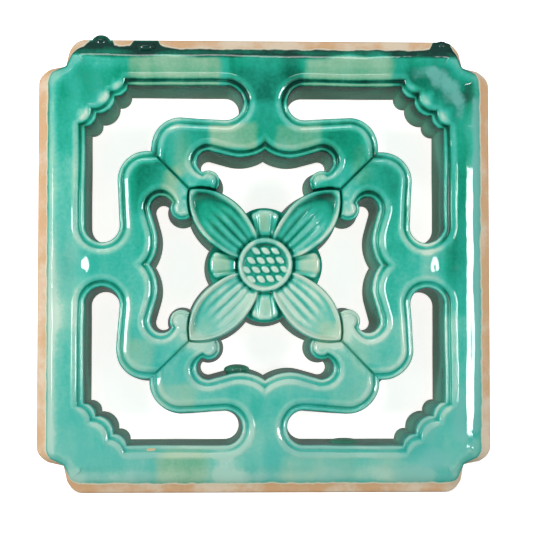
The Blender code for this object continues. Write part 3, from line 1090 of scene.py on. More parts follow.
@dataclass
class Hollows:
    """What is cut away round the flower, with rounded upper edges, and the seams on the ring's diagonals."""

    outlines: FaceOutlines
    groove: float = 0.0008
    pocket_profile: tuple[Point, ...] = (
        (0.0036, -0.0020), (0.0022, -0.0001), (0.0013, 0.0004), (0.0006, 0.0013), (0.0002, 0.0026),
        (0.0, 0.0040), (-0.0006, 0.0050),
    )
    pocket_rows: int = 44
    middle_depth: float = 0.0077
    middle_points: int = 80
    over: float = 0.002
    seam_section: tuple[Point, ...] = (
        (0.0030, -0.0020), (0.0017, -0.0001), (0.0011, 0.0005), (0.0006, 0.0014), (0.0002, 0.0024),
    )
    curve_steps: int = 2

    def build(self) -> list[bpy.types.Object]:
        """Model all the cutters."""
        reach = self.outlines.reach
        middle_radius = self.outlines.sepal_reach * reach + self.groove
        last = self.middle_points - 1
        round_points = arc((0.0, 0.0), middle_radius, 0.0, 2 * math.pi * last / self.middle_points, last)
        middle = stacked([(round_points, -self.over), (round_points, self.middle_depth)], "middle_pocket")
        pockets = copies_round(self.petal_pocket(), math.pi / 4)
        seams = copies_round(self.seam(), math.pi / 4)
        return [middle] + pockets + seams

    def petal_pocket(self) -> bpy.types.Object:
        """The cut round one petal, along +Z."""
        start = self.outlines.disc_radius * self.outlines.reach / 2
        levels = []
        for grow, depth in curve_through(self.pocket_profile, self.curve_steps):
            tip = self.outlines.petal_tip(-self.groove - grow)
            side = []
            for i in range(self.pocket_rows):
                s = start + (tip - start) * math.sin(math.pi / 2 * i / self.pocket_rows)
                side.append((self.outlines.petal_half_width(s, -self.groove - grow), s))
            levels.append((side + [(0.0, tip)] + [(-t, s) for t, s in reversed(side)], depth))
        return stacked(levels, "petal_pocket")

    def seam(self) -> bpy.types.Object:
        """The groove from a petal's tip to the notch in the ring, along +Z."""
        start = self.outlines.petal_tip(0.0)
        end = self.outlines.ring_notch * self.outlines.reach / DIAGONAL + self.outlines.slot / 2
        curve = curve_through(self.seam_section, self.curve_steps)
        section = curve + [(-u, depth) for u, depth in reversed(curve)]
        mesh = bmesh.new()
        rings = [[mesh.verts.new((u, depth, s)) for u, depth in section] for s in (start, end)]
        skin(mesh, rings)
        mesh.faces.new(rings[0])
        mesh.faces.new(rings[1])
        return mesh_object(mesh, "seam")


@dataclass(frozen=True)
class Drip:
    """A bead of run glaze on a wall or edge: its place on the face, its depth, three radii and its turn."""

    u: float
    v: float
    depth: float
    across: float
    through: float
    up: float
    turn: float = 0.0


TOP_DRIPS = (
    Drip(-0.1090, 0.1484, 0.0150, 0.0066, 0.0085, 0.0054),
    Drip(-0.0790, 0.1442, 0.0075, 0.0070, 0.0060, 0.0036),
    Drip(0.1185, 0.1468, 0.0130, 0.0050, 0.0075, 0.0040),
)
WALL_DRIPS = (
    Drip(-0.0535, 0.0955, 0.0260, 0.0052, 0.0090, 0.0026),
    Drip(-0.0185, -0.0690, 0.0280, 0.0085, 0.0110, 0.0034),
    Drip(0.0540, -0.1190, 0.0320, 0.0120, 0.0120, 0.0040),
    Drip(0.0765, -0.0745, 0.0280, 0.0050, 0.0080, 0.0030, -0.8),
    Drip(-0.0940, -0.1190, 0.0320, 0.0070, 0.0090, 0.0032),
)
DRIPS = TOP_DRIPS + WALL_DRIPS


def drip_pieces(drips: Iterable[Drip], segments: int = 28, rings: int = 16) -> list[bpy.types.Object]:
    """Model each drip as a smooth flattened ball, half sunk in the clay.

    Args:
        drips: The drips.
        segments: How many segments each ball has.
        rings: How many rings.

    Returns:
        One closed piece for each drip.
    """
    made = []
    for i, drip in enumerate(drips):
        deselect()
        bpy.ops.mesh.primitive_uv_sphere_add(segments=segments, ring_count=rings, radius=1.0)
        piece = bpy.context.object
        piece.name = f"drip_{i + 1}"
        turn = Euler((0.0, drip.turn, 0.0)).to_matrix()
        size = Vector((drip.across, drip.through, drip.up))
        centre = Vector((drip.u, drip.depth, drip.v))
        shaped(piece, lambda co: turn @ (co * size) + centre)
        made.append(piece)
    return made


def combine(block: bpy.types.Object, shapes: list[bpy.types.Object], cut: Cut) -> None:
    """Take shapes away from the block or add them to it, and remove them.

    Args:
        block: The block.
        shapes: The closed shapes.
        cut: Whether they are taken away or added.
    """
    group = bpy.data.collections.new(cut.name.lower())
    bpy.context.scene.collection.children.link(group)
    for piece in shapes:
        group.objects.link(piece)
    modifier = block.modifiers.new(cut.name.lower(), "BOOLEAN")
    modifier.operation = cut.value
    modifier.operand_type = "COLLECTION"
    modifier.collection = group
    modifier.solver = "MANIFOLD"
    activate(block)
    bpy.ops.object.modifier_apply(modifier=modifier.name)
    for piece in shapes:
        bpy.data.objects.remove(piece, do_unlink=True)
    bpy.data.collections.remove(group)


@dataclass(frozen=True)
class Patch:
    """A soft-edged area of the face in metres, with how much it changes there."""

    u: float
    v: float
    half_u: float
    half_v: float
    amount: float
    edge: float = 0.0050


def both_sides(patch: Patch) -> tuple[Patch, Patch]:
    """A patch on the right, and its mirror image on the left before it."""
    return replace(patch, u=-patch.u), patch


# Where the glaze is thicker, or thinner where the amount is negative.
THICK_PATCHES = (
    Patch(0.0, 0.124, 0.022, 0.014, 0.55),
    Patch(0.0, 0.100, 0.002, 0.022, 0.12, 0.0060),
    Patch(-0.130, 0.040, 0.006, 0.080, -0.40, 0.0060),
    Patch(-0.076, -0.060, 0.014, 0.030, -0.30, 0.0120),
    Patch(0.076, -0.070, 0.014, 0.024, -0.20, 0.0120),
    Patch(-0.112, 0.126, 0.020, 0.014, 0.20, 0.0080),
    Patch(0.112, 0.126, 0.024, 0.014, 0.25, 0.0080),
    Patch(-0.046, 0.084, 0.006, 0.012, 0.50, 0.0060),
    Patch(0.050, 0.084, 0.010, 0.014, 0.40, 0.0060),
    Patch(-0.076, 0.052, 0.008, 0.016, 0.45, 0.0060),
    Patch(0.076, 0.060, 0.010, 0.014, 0.35, 0.0060),
    Patch(0.0, 0.1440, 0.150, 0.0045, 1.70, 0.0035),
    Patch(0.0, 0.0, 0.006, 0.006, 0.45, 0.0080),
    Patch(0.0, 0.0150, 0.0060, 0.0015, 0.60, 0.0040),
    *both_sides(Patch(0.036, 0.050, 0.008, 0.003, 0.60, 0.0050)),
    Patch(-0.032, -0.033, 0.014, 0.014, -1.15, 0.0180),
    Patch(0.032, -0.033, 0.014, 0.014, -1.00, 0.0180),
    Patch(-0.054, -0.1335, 0.012, 0.005, 1.40, 0.0140),
    *both_sides(Patch(0.029, 0.0, 0.003, 0.005, -0.35, 0.0040)),
    Patch(-0.010, -0.1405, 0.120, 0.0030, -0.70, 0.0070),
    Patch(0.126, 0.040, 0.005, 0.070, 0.60, 0.0060),
    Patch(0.135, 0.119, 0.002, 0.008, 0.50, 0.0060),
    Patch(0.139, -0.106, 0.003, 0.006, 0.50, 0.0060),
    Patch(0.098, -0.118, 0.006, 0.005, 0.60, 0.0070),
    Patch(-0.020, -0.084, 0.012, 0.010, 0.20, 0.0080),
    Patch(0.090, -0.010, 0.010, 0.020, 0.35, 0.0080),
    Patch(0.0, -0.110, 0.006, 0.022, 0.15, 0.0080),
    Patch(0.0, -0.125, 0.130, 0.014, -0.34, 0.0120),
)

# Small pale spots on the scalloped corners: thin glaze on the lobes' crests, with painted highlights there
# too.
SCALLOP_CRESTS = ((0.1065, 0.1105), (0.1185, 0.0985), (0.0965, 0.1165))
THIN_GLAZE_AND_HIGHLIGHT_SPOTS = tuple(
    Patch(side * u, v, 0.0014, 0.0014, -0.95, 0.0045) for side in (-1, 1) for u, v in SCALLOP_CRESTS
)

# Where the glaze turned olive, most of it in the middle of the top border and round the petals.
OLIVE_PATCHES = (
    Patch(-0.060, 0.1265, 0.026, 0.0080, 1.10, 0.0080),
    Patch(0.056, 0.1265, 0.027, 0.0078, 0.80, 0.0065),
    Patch(-0.054, -0.1330, 0.011, 0.0050, 0.85, 0.0140),
    Patch(0.050, -0.1330, 0.036, 0.0050, 0.35, 0.0100),
    Patch(-0.020, 0.0845, 0.013, 0.0060, 0.80),
    Patch(0.022, 0.0845, 0.013, 0.0060, 0.60),
    Patch(-0.055, 0.0740, 0.003, 0.0120, 0.45, 0.0080),
    Patch(-0.0620, 0.0520, 0.003, 0.0080, 0.65, 0.0070),
    Patch(0.066, 0.066, 0.005, 0.010, 0.35, 0.0080),
    Patch(-0.090, 0.024, 0.004, 0.010, 0.30, 0.0080),
    Patch(-0.084, -0.060, 0.008, 0.008, 0.40, 0.0080),
    Patch(-0.058, -0.086, 0.010, 0.006, 0.45, 0.0080),
    Patch(0.060, -0.086, 0.014, 0.006, 0.30, 0.0080),
    Patch(0.066, -0.062, 0.008, 0.008, 0.30, 0.0080),
    Patch(-0.043, -0.045, 0.005, 0.004, 0.40, 0.0100),
    Patch(0.043, -0.045, 0.005, 0.004, 0.55, 0.0100),
    *both_sides(Patch(0.029, 0.0, 0.004, 0.005, 0.65, 0.0040)),
    Patch(0.0, 0.028, 0.0022, 0.004, 0.60, 0.0030),
    Patch(0.0, -0.029, 0.003, 0.003, 0.50, 0.0040),
)

# Painted sheen: a pale bluish reflection painted into the glaze down the right edge and in the corners.
PAINTED_SHEEN_PATCHES = (
    Patch(0.1425, 0.0, 0.0035, 0.110, 0.85, 0.0040),
    Patch(0.1060, 0.1275, 0.0040, 0.0010, 0.60, 0.0065),
    Patch(0.1150, 0.1225, 0.0030, 0.0030, 0.70, 0.0070),
    Patch(0.1225, 0.1140, 0.0020, 0.0050, 0.75, 0.0070),
    Patch(0.1290, 0.1030, 0.0008, 0.0070, 0.60, 0.0060),
    Patch(0.130, -0.098, 0.002, 0.014, 0.80, 0.0090),
    Patch(0.112, -0.128, 0.008, 0.003, 0.75, 0.0090),
    Patch(-0.118, 0.118, 0.008, 0.008, 0.35, 0.0080),
    Patch(-0.124, -0.110, 0.008, 0.016, 0.30, 0.0080),
)

# Where the glaze is missing and the clay shows.
CHIPS = (Patch(-0.0745, -0.1196, 0.0022, 0.0001, 1.0, 0.0011),)


@dataclass
class GlazeFlow:
    """Where the melted glaze pooled and where it drew thin, read from the finished relief.

    The glaze ran towards the block's top edge, so it is thick where the relief dams that flow. That also
    paints shade: slopes that face down are darker and slopes that face up paler, as under light from above.
    """

    side: float
    cell: float = 0.0006
    opening_depth: float = 0.0085
    opening_counts_as: float = 0.0044
    fine_blur: float = 0.0007
    middle_blur: float = 0.0021
    broad_blur: float = 0.0050
    fine_gain: float = 1600.0
    broad_gain: float = 330.0
    # The weight of the slope term: glaze run towards the top, and painted shade on slopes that face down.
    flow_and_shade_gain: float = 1.3
    fine_limits: Point = (-1.0, 1.0)
    broad_limits: Point = (-0.5, 0.5)
    flow_and_shade_limits: Point = (-0.6, 0.7)
    limits: Point = (-1.2, 0.85)
    top_gain: float = 0.50
    warp_length: float = 0.019
    warp_reach: float = 0.0028
    pooling_and_shade: np.ndarray = field(init=False)

    def read(self, block: bpy.types.Object) -> None:
        """Read the relief's depths on a fine square grid, and work out the glaze's thickness.

        Args:
            block: The finished block, with its face in the plane y = 0.
        """
        mesh = bmesh.new()
        mesh.from_mesh(block.data)
        tree = BVHTree.FromBMesh(mesh)
        mesh.free()
        count = int(self.side / self.cell) + 1
        steps = [-self.side / 2 + i * self.cell for i in range(count)]
        heights = np.full((count, count), self.opening_counts_as, float)
        towards_back = Vector((0.0, 1.0, 0.0))
        ahead = 0.05
        for row, v in enumerate(steps):
            for column, u in enumerate(steps):
                place = tree.ray_cast(Vector((u, -ahead, v)), towards_back, ahead + self.opening_depth)[0]
                if place is not None:
                    heights[row, column] = place.y
        fine = self.blurred(heights, self.fine_blur)
        middle = self.blurred(heights, self.middle_blur)
        broad = self.blurred(heights, self.broad_blur)
        rise = -np.gradient(middle, self.cell, axis=0)
        pooling_and_shade = np.clip(self.fine_gain * (fine - middle), *self.fine_limits)
        pooling_and_shade += np.clip(self.broad_gain * (middle - broad), *self.broad_limits)
        # Partly painted shade: darker where the relief faces down, paler where it faces up.
        pooling_and_shade += np.clip(self.flow_and_shade_gain * rise, *self.flow_and_shade_limits)
        self.pooling_and_shade = np.clip(pooling_and_shade, *self.limits)

    def blurred(self, values: np.ndarray, width: float) -> np.ndarray:
        """Blur a grid of values evenly.

        Args:
            values: The grid.
            width: The blur's standard width in metres.

        Returns:
            The blurred grid.
        """
        waves_v = np.fft.fftfreq(values.shape[0], self.cell)[:, None]
        waves_u = np.fft.fftfreq(values.shape[1], self.cell)[None, :]
        window = np.exp(-2.0 * (math.pi * width) ** 2 * (waves_u ** 2 + waves_v ** 2))
        return np.real(np.fft.ifft2(np.fft.fft2(values) * window))

    def at(self, u: np.ndarray, v: np.ndarray) -> np.ndarray:
        """The pooling, with its painted shade, at points of the face, between the grid's values."""
        inner = 1.001
        row = np.clip((v + self.side / 2) / self.cell, 0, self.pooling_and_shade.shape[0] - inner)
        column = np.clip((u + self.side / 2) / self.cell, 0, self.pooling_and_shade.shape[1] - inner)
        r, c = row.astype(int), column.astype(int)
        y, x = row - r, column - c
        grid = self.pooling_and_shade
        near = grid[r, c] * (1 - x) + grid[r, c + 1] * x
        far = grid[r + 1, c] * (1 - x) + grid[r + 1, c + 1] * x
        return near * (1 - y) + far * y

    def patched(self, patches: Iterable[Patch], u: np.ndarray, v: np.ndarray) -> np.ndarray:
        """The sum of soft patches at points of the face, with uneven edges.

        Args:
            patches: The patches.
            u: The points' places across.
            v: Their places up.

        Returns:
            The sum at each point.
        """
        warp = np.array([noise.noise_vector(Vector((x, 0.0, y)) / self.warp_length) for x, y in zip(u, v)])
        u = u + warp[:, 0] * self.warp_reach
        v = v + warp[:, 2] * self.warp_reach
        total = np.zeros_like(u)
        for patch in patches:
            past_u = np.maximum(np.abs(u - patch.u) - patch.half_u, 0)
            past_v = np.maximum(np.abs(v - patch.v) - patch.half_v, 0)
            away = np.hypot(past_u, past_v)
            share = np.clip(1.0 - away / patch.edge, 0.0, 1.0)
            total += patch.amount * share * share * (3.0 - 2.0 * share)
        return total


@dataclass(frozen=True)
class GlazeFinish:
    """The sea-green glaze: its colours by thickness and place, its clouds and its gloss.

    A range holds the two values between which something starts and ends, and what it gives at each.
    """

    cream: Colour = (0.66, 0.80, 0.66)
    mint: Colour = (0.31, 0.64, 0.50)
    pale_turquoise: Colour = (0.125, 0.54, 0.43)
    turquoise: Colour = (0.035, 0.45, 0.335)
    green: Colour = (0.007, 0.33, 0.205)
    emerald: Colour = (0.003, 0.165, 0.100)
    deep: Colour = (0.0012, 0.045, 0.032)
    olive: Colour = (0.48, 0.62, 0.44)
    olive_green: Colour = (0.055, 0.37, 0.21)
    sea_blue: Colour = (0.045, 0.42, 0.37)
    # The colour of the painted sheen, a pale reflection painted into the glaze.
    painted_sheen: Colour = (0.17, 0.50, 0.45)
    # A paler tint for the openings' walls: painted light bounced onto their back parts.
    wall_bounce_tint: Colour = (0.19, 0.56, 0.38)
    run: tuple[float, float, float] = (1.0, 0.5, 0.42)
    broad_scale: float = 24.0
    broad_gain: float = 2.0
    middling_scale: float = 85.0
    middling_gain: float = 1.1
    fine_scale: float = 420.0
    fine_gain: float = 0.55
    thickness_gain: float = 0.35
    middle_share: float = 0.435
    blue_scale: float = 31.0
    blue_clouds: Range = (0.42, 0.62, 0.0, 0.25)
    blue_low_down: Range = (0.20, 0.02, 0.0, 0.46)
    blue_left_in_pools: Range = (0.60, 0.92, 1.0, 0.05)
    painted_bounce_down_walls: Range = (0.008, 0.034, 0.0, 0.70)
    olive_unevenness: float = 0.9
    olive_share: Range = (0.10, 0.95, 0.0, 1.0)
    olive_left_in_pools: Range = (1.4, 0.4, 0.0, 0.9)
    olive_by_thickness: Range = (-0.9, 1.1, 0.0, 1.0)
    # How the painted sheen's patches spread: how unevenly, how streaky, and how strongly.
    painted_sheen_unevenness: float = 1.2
    painted_sheen_fineness: float = 0.6
    painted_sheen_share: Range = (0.25, 0.95, 0.0, 0.75)
    edge_scale: float = 130.0
    edge_reach: float = 0.0022
    roughness: float = 0.06
    ior: float = 1.52
    wave_scale: float = 85.0
    bump_strength: float = 0.30
    bump_distance: float = 0.0006

    @property
    def by_thickness(self) -> tuple[tuple[float, Colour], ...]:
        """The colours from where the glaze is thinnest to where it is thickest."""
        return (
            (0.0, self.cream), (0.15, self.mint), (0.32, self.pale_turquoise), (0.44, self.turquoise),
            (0.62, self.green), (0.80, self.emerald), (1.0, self.deep),
        )

    @property
    def gloss(self) -> Range:
        """The range of the roughness over the middling clouds."""
        return 0.3, 0.75, self.roughness * 0.7, self.roughness * 1.6


@dataclass(frozen=True)
class ClayFinish:
    """The bare fired clay of the outer sides and the back, and the glaze's pale rim beside it."""

    pale: Colour = (0.78, 0.65, 0.49)
    orange: Colour = (0.70, 0.44, 0.24)
    speck: Colour = (0.42, 0.27, 0.15)
    rim: Colour = (0.80, 0.76, 0.58)
    bare_past_edge: Range = (-0.0001, 0.0003, 0.0, 1.0)
    rim_before_edge: Range = (-0.0011, -0.0002, 0.0, 1.0)
    grain_scale: float = 900.0
    cloud_scale: float = 38.0
    clouds: Range = (0.38, 0.62, 0.0, 1.0)
    specks: Range = (0.55, 0.75, 0.0, 0.25)
    grain_height: float = 0.5
    roughness: float = 0.85


class NodeBench:
    """Short calls for laying out nodes in a tree."""

    def __init__(self, tree: bpy.types.NodeTree) -> None:
        """Work on a node tree."""
        self.tree = tree

    def node(self, kind: str, **settings: object) -> bpy.types.Node:
        """Add a node and set its properties."""
        made = self.tree.nodes.new(kind)
        for name, value in settings.items():
            setattr(made, name, value)
        return made

    def join(self, source: bpy.types.NodeSocket, target: bpy.types.NodeSocket) -> None:
        """Link one socket to another."""
        self.tree.links.new(source, target)

    def feed(self, target: bpy.types.NodeSocket, value: object) -> None:
        """Give a socket a number, a colour without its alpha, or a link to another socket."""
        if isinstance(value, bpy.types.NodeSocket):
            self.join(value, target)
        elif isinstance(value, tuple):
            target.default_value = (*value, 1.0)
        else:
            target.default_value = value

    def attribute(self, name: str) -> bpy.types.NodeSocket:
        """The value of one of the mesh's own attributes."""
        return self.node("ShaderNodeAttribute", attribute_name=name).outputs["Fac"]

    def math(self, operation: str, *values: object, clamp: bool = False) -> bpy.types.NodeSocket:
        """The result of a sum with one, two or three values."""
        made = self.node("ShaderNodeMath", operation=operation, use_clamp=clamp)
        for socket, value in zip(made.inputs, values):
            self.feed(socket, value)
        return made.outputs[0]

    def noise(self, place: bpy.types.NodeSocket, scale: float, detail: float = 2.0,
              roughness: float = 0.5) -> bpy.types.NodeSocket:
        """A cloud pattern from 0 to 1."""
        made = self.node("ShaderNodeTexNoise")
        self.join(place, made.inputs["Vector"])
        made.inputs["Scale"].default_value = scale
        made.inputs["Detail"].default_value = detail
        made.inputs["Roughness"].default_value = roughness
        return made.outputs["Fac"]

    def centred(self, pattern: bpy.types.NodeSocket) -> bpy.types.NodeSocket:
        """A cloud pattern from -0.5 to 0.5."""
        return self.math("SUBTRACT", pattern, 0.5)

    def shifted(self, value: bpy.types.NodeSocket, pattern: bpy.types.NodeSocket,
                gain: float) -> bpy.types.NodeSocket:
        """A value that a cloud pattern shifts up and down."""
        return self.math("MULTIPLY_ADD", self.centred(pattern), gain, value)

    def between(self, value: bpy.types.NodeSocket, low: float, high: float, to_low: float = 0.0,
                to_high: float = 1.0) -> bpy.types.NodeSocket:
        """A value stretched smoothly from one range to another."""
        made = self.node("ShaderNodeMapRange", interpolation_type="SMOOTHSTEP")
        self.join(value, made.inputs["Value"])
        made.inputs["From Min"].default_value = low
        made.inputs["From Max"].default_value = high
        made.inputs["To Min"].default_value = to_low
        made.inputs["To Max"].default_value = to_high
        return made.outputs["Result"]

    def mix(self, share: object, a: object, b: object) -> bpy.types.NodeSocket:
        """A colour between two colours."""
        made = self.node("ShaderNodeMix", data_type="RGBA")
        self.feed(made.inputs[0], share)
        self.feed(made.inputs[6], a)
        self.feed(made.inputs[7], b)
        return made.outputs[2]

    def blend(self, share: object, a: object, b: object) -> bpy.types.NodeSocket:
        """A number between two numbers."""
        made = self.node("ShaderNodeMix", data_type="FLOAT")
        self.feed(made.inputs[0], share)
        self.feed(made.inputs[2], a)
        self.feed(made.inputs[3], b)
        return made.outputs[0]

    def ramp(self, value: bpy.types.NodeSocket,
             stops: Sequence[tuple[float, Colour]]) -> bpy.types.NodeSocket:
        """A colour ramp.

        Args:
            value: Where on the ramp, from 0 to 1.
            stops: The places on it, in order, and their colours.

        Returns:
            The colour.
        """
        made = self.node("ShaderNodeValToRGB")
        made.color_ramp.interpolation = "LINEAR"
        elements = made.color_ramp.elements
        while len(elements) < len(stops):
            elements.new(0.5)
        for element, (place, colour) in zip(elements, stops):
            element.position = place
            element.color = (*colour, 1.0)
        self.join(value, made.inputs["Fac"])
        return made.outputs["Color"]


class MaterialBench(NodeBench):
    """A bench with a new material and its shader."""

    def __init__(self, name: str) -> None:
        """Start a new node material."""
        self.material = bpy.data.materials.new(name)
        self.material.use_nodes = True
        super().__init__(self.material.node_tree)
        self.shader = self.tree.nodes["Principled BSDF"]

    def shader_input(self, name: str, value: object) -> None:
        """Set one of the shader's inputs, or link it."""
        self.feed(self.shader.inputs[name], value)

    def show(self, surface: bpy.types.NodeSocket) -> None:
        """Make this the material's surface."""
        self.join(surface, self.tree.nodes["Material Output"].inputs["Surface"])


class GlazedClay(MaterialBench):
    """The block's material: glaze over clay, with the clay bare past the glaze's edge."""

    def __init__(self, glaze: GlazeFinish, clay: ClayFinish) -> None:
        """Lay out the whole material.

        Args:
            glaze: The glaze's colours, clouds and gloss.
            clay: The clay's colours.
        """
        super().__init__("glazed_clay")
        self.glaze = glaze
        self.clay = clay
        self.place = self.node("ShaderNodeTexCoord").outputs["Object"]
        self.pool = self.attribute("pool")
        self.olive = self.attribute("olive")
        self.painted_sheen = self.attribute("painted_sheen")
        self.reach = self.attribute("glaze_reach")
        self.depth = self.attribute("depth")
        drawn_out = self.node("ShaderNodeMapping")
        self.join(self.place, drawn_out.inputs["Vector"])
        drawn_out.inputs["Scale"].default_value = glaze.run
        self.run = drawn_out.outputs["Vector"]
        self.broad = self.noise(self.run, glaze.broad_scale)
        self.middling = self.noise(self.run, glaze.middling_scale, detail=3.0, roughness=0.55)
        self.fine = self.noise(self.place, glaze.fine_scale, detail=3.0, roughness=0.6)

        glazed = self.glaze_colour()
        uneven_edge = self.centred(self.noise(self.place, glaze.edge_scale, detail=3.0))
        edge_wave = self.math("MULTIPLY", uneven_edge, glaze.edge_reach)
        past = self.math("SUBTRACT", self.math("ADD", self.depth, edge_wave), self.reach)
        bare = self.between(past, *clay.bare_past_edge)
        rim = self.between(past, *clay.rim_before_edge)
        grain = self.noise(self.place, clay.grain_scale, roughness=0.7)
        fired = self.clay_colour(grain)
        glazed = self.mix(rim, glazed, clay.rim)
        self.shader_input("Base Color", self.mix(bare, glazed, fired))
        gloss = self.between(self.middling, *glaze.gloss)
        self.shader_input("Roughness", self.blend(bare, gloss, clay.roughness))
        self.shader_input("IOR", glaze.ior)
        self.shader_input("Normal", self.bumps(bare, grain))

    def glaze_colour(self) -> bpy.types.NodeSocket:
        """The glaze's colour, from its thickness with the painted shade and highlights in it, its place on
        the block and the patches, the painted sheen among them.

        Returns:
            The colour.
        """
        glaze = self.glaze
        # The thickness here carries painted shade and highlights as well as the glaze's own pooling.
        thick = self.shifted(self.pool, self.broad, glaze.broad_gain)
        thick = self.shifted(thick, self.middling, glaze.middling_gain)
        thick = self.shifted(thick, self.fine, glaze.fine_gain)
        share = self.math("MULTIPLY_ADD", thick, glaze.thickness_gain, glaze.middle_share, clamp=True)
        body = self.ramp(share, glaze.by_thickness)
        parts = self.node("ShaderNodeSeparateXYZ")
        self.join(self.place, parts.inputs[0])
        low_down = self.between(parts.outputs["Z"], *glaze.blue_low_down)
        clouds = self.between(self.noise(self.run, glaze.blue_scale), *glaze.blue_clouds)
        bluish = self.math("ADD", clouds, low_down)
        bluish = self.math("MULTIPLY", bluish, self.between(share, *glaze.blue_left_in_pools))
        body = self.mix(bluish, body, glaze.sea_blue)
        # Painted bounce light: the walls grow paler towards the back.
        body = self.mix(self.between(self.depth, *glaze.painted_bounce_down_walls), body, glaze.wall_bounce_tint)
        uneven = self.shifted(self.olive, self.middling, glaze.olive_unevenness)
        on_patch = self.between(uneven, *glaze.olive_share)
        on_patch = self.math("MULTIPLY", on_patch, self.between(thick, *glaze.olive_left_in_pools))
        olive = self.mix(self.between(thick, *glaze.olive_by_thickness), glaze.olive, glaze.olive_green)
        body = self.mix(on_patch, body, olive)
        # Painted sheen: a pale reflection mixed into the colour over its patches.
        streaky = self.shifted(self.painted_sheen, self.middling, glaze.painted_sheen_unevenness)
        streaky = self.shifted(streaky, self.fine, glaze.painted_sheen_fineness)
        return self.mix(self.between(streaky, *glaze.painted_sheen_share), body, glaze.painted_sheen)

    def clay_colour(self, grain: bpy.types.NodeSocket) -> bpy.types.NodeSocket:
        """The bare clay's colour: clouds of two tones with dark specks."""
        cloud = self.noise(self.place, self.clay.cloud_scale, detail=4.0, roughness=0.6)
        colour = self.mix(self.between(cloud, *self.clay.clouds), self.clay.pale, self.clay.orange)
        return self.mix(self.between(grain, *self.clay.specks), colour, self.clay.speck)

    def bumps(self, bare: bpy.types.NodeSocket, grain: bpy.types.NodeSocket) -> bpy.types.NodeSocket:
        """The surface's small bumps: slow waves in the glaze, and grain in the clay."""
        waves = self.noise(self.place, self.glaze.wave_scale, roughness=0.45)
        height = self.blend(bare, waves, self.math("MULTIPLY", grain, self.clay.grain_height))
        bump = self.node("ShaderNodeBump")
        bump.inputs["Strength"].default_value = self.glaze.bump_strength
        bump.inputs["Distance"].default_value = self.glaze.bump_distance
        self.join(height, bump.inputs["Height"])
        return bump.outputs["Normal"]


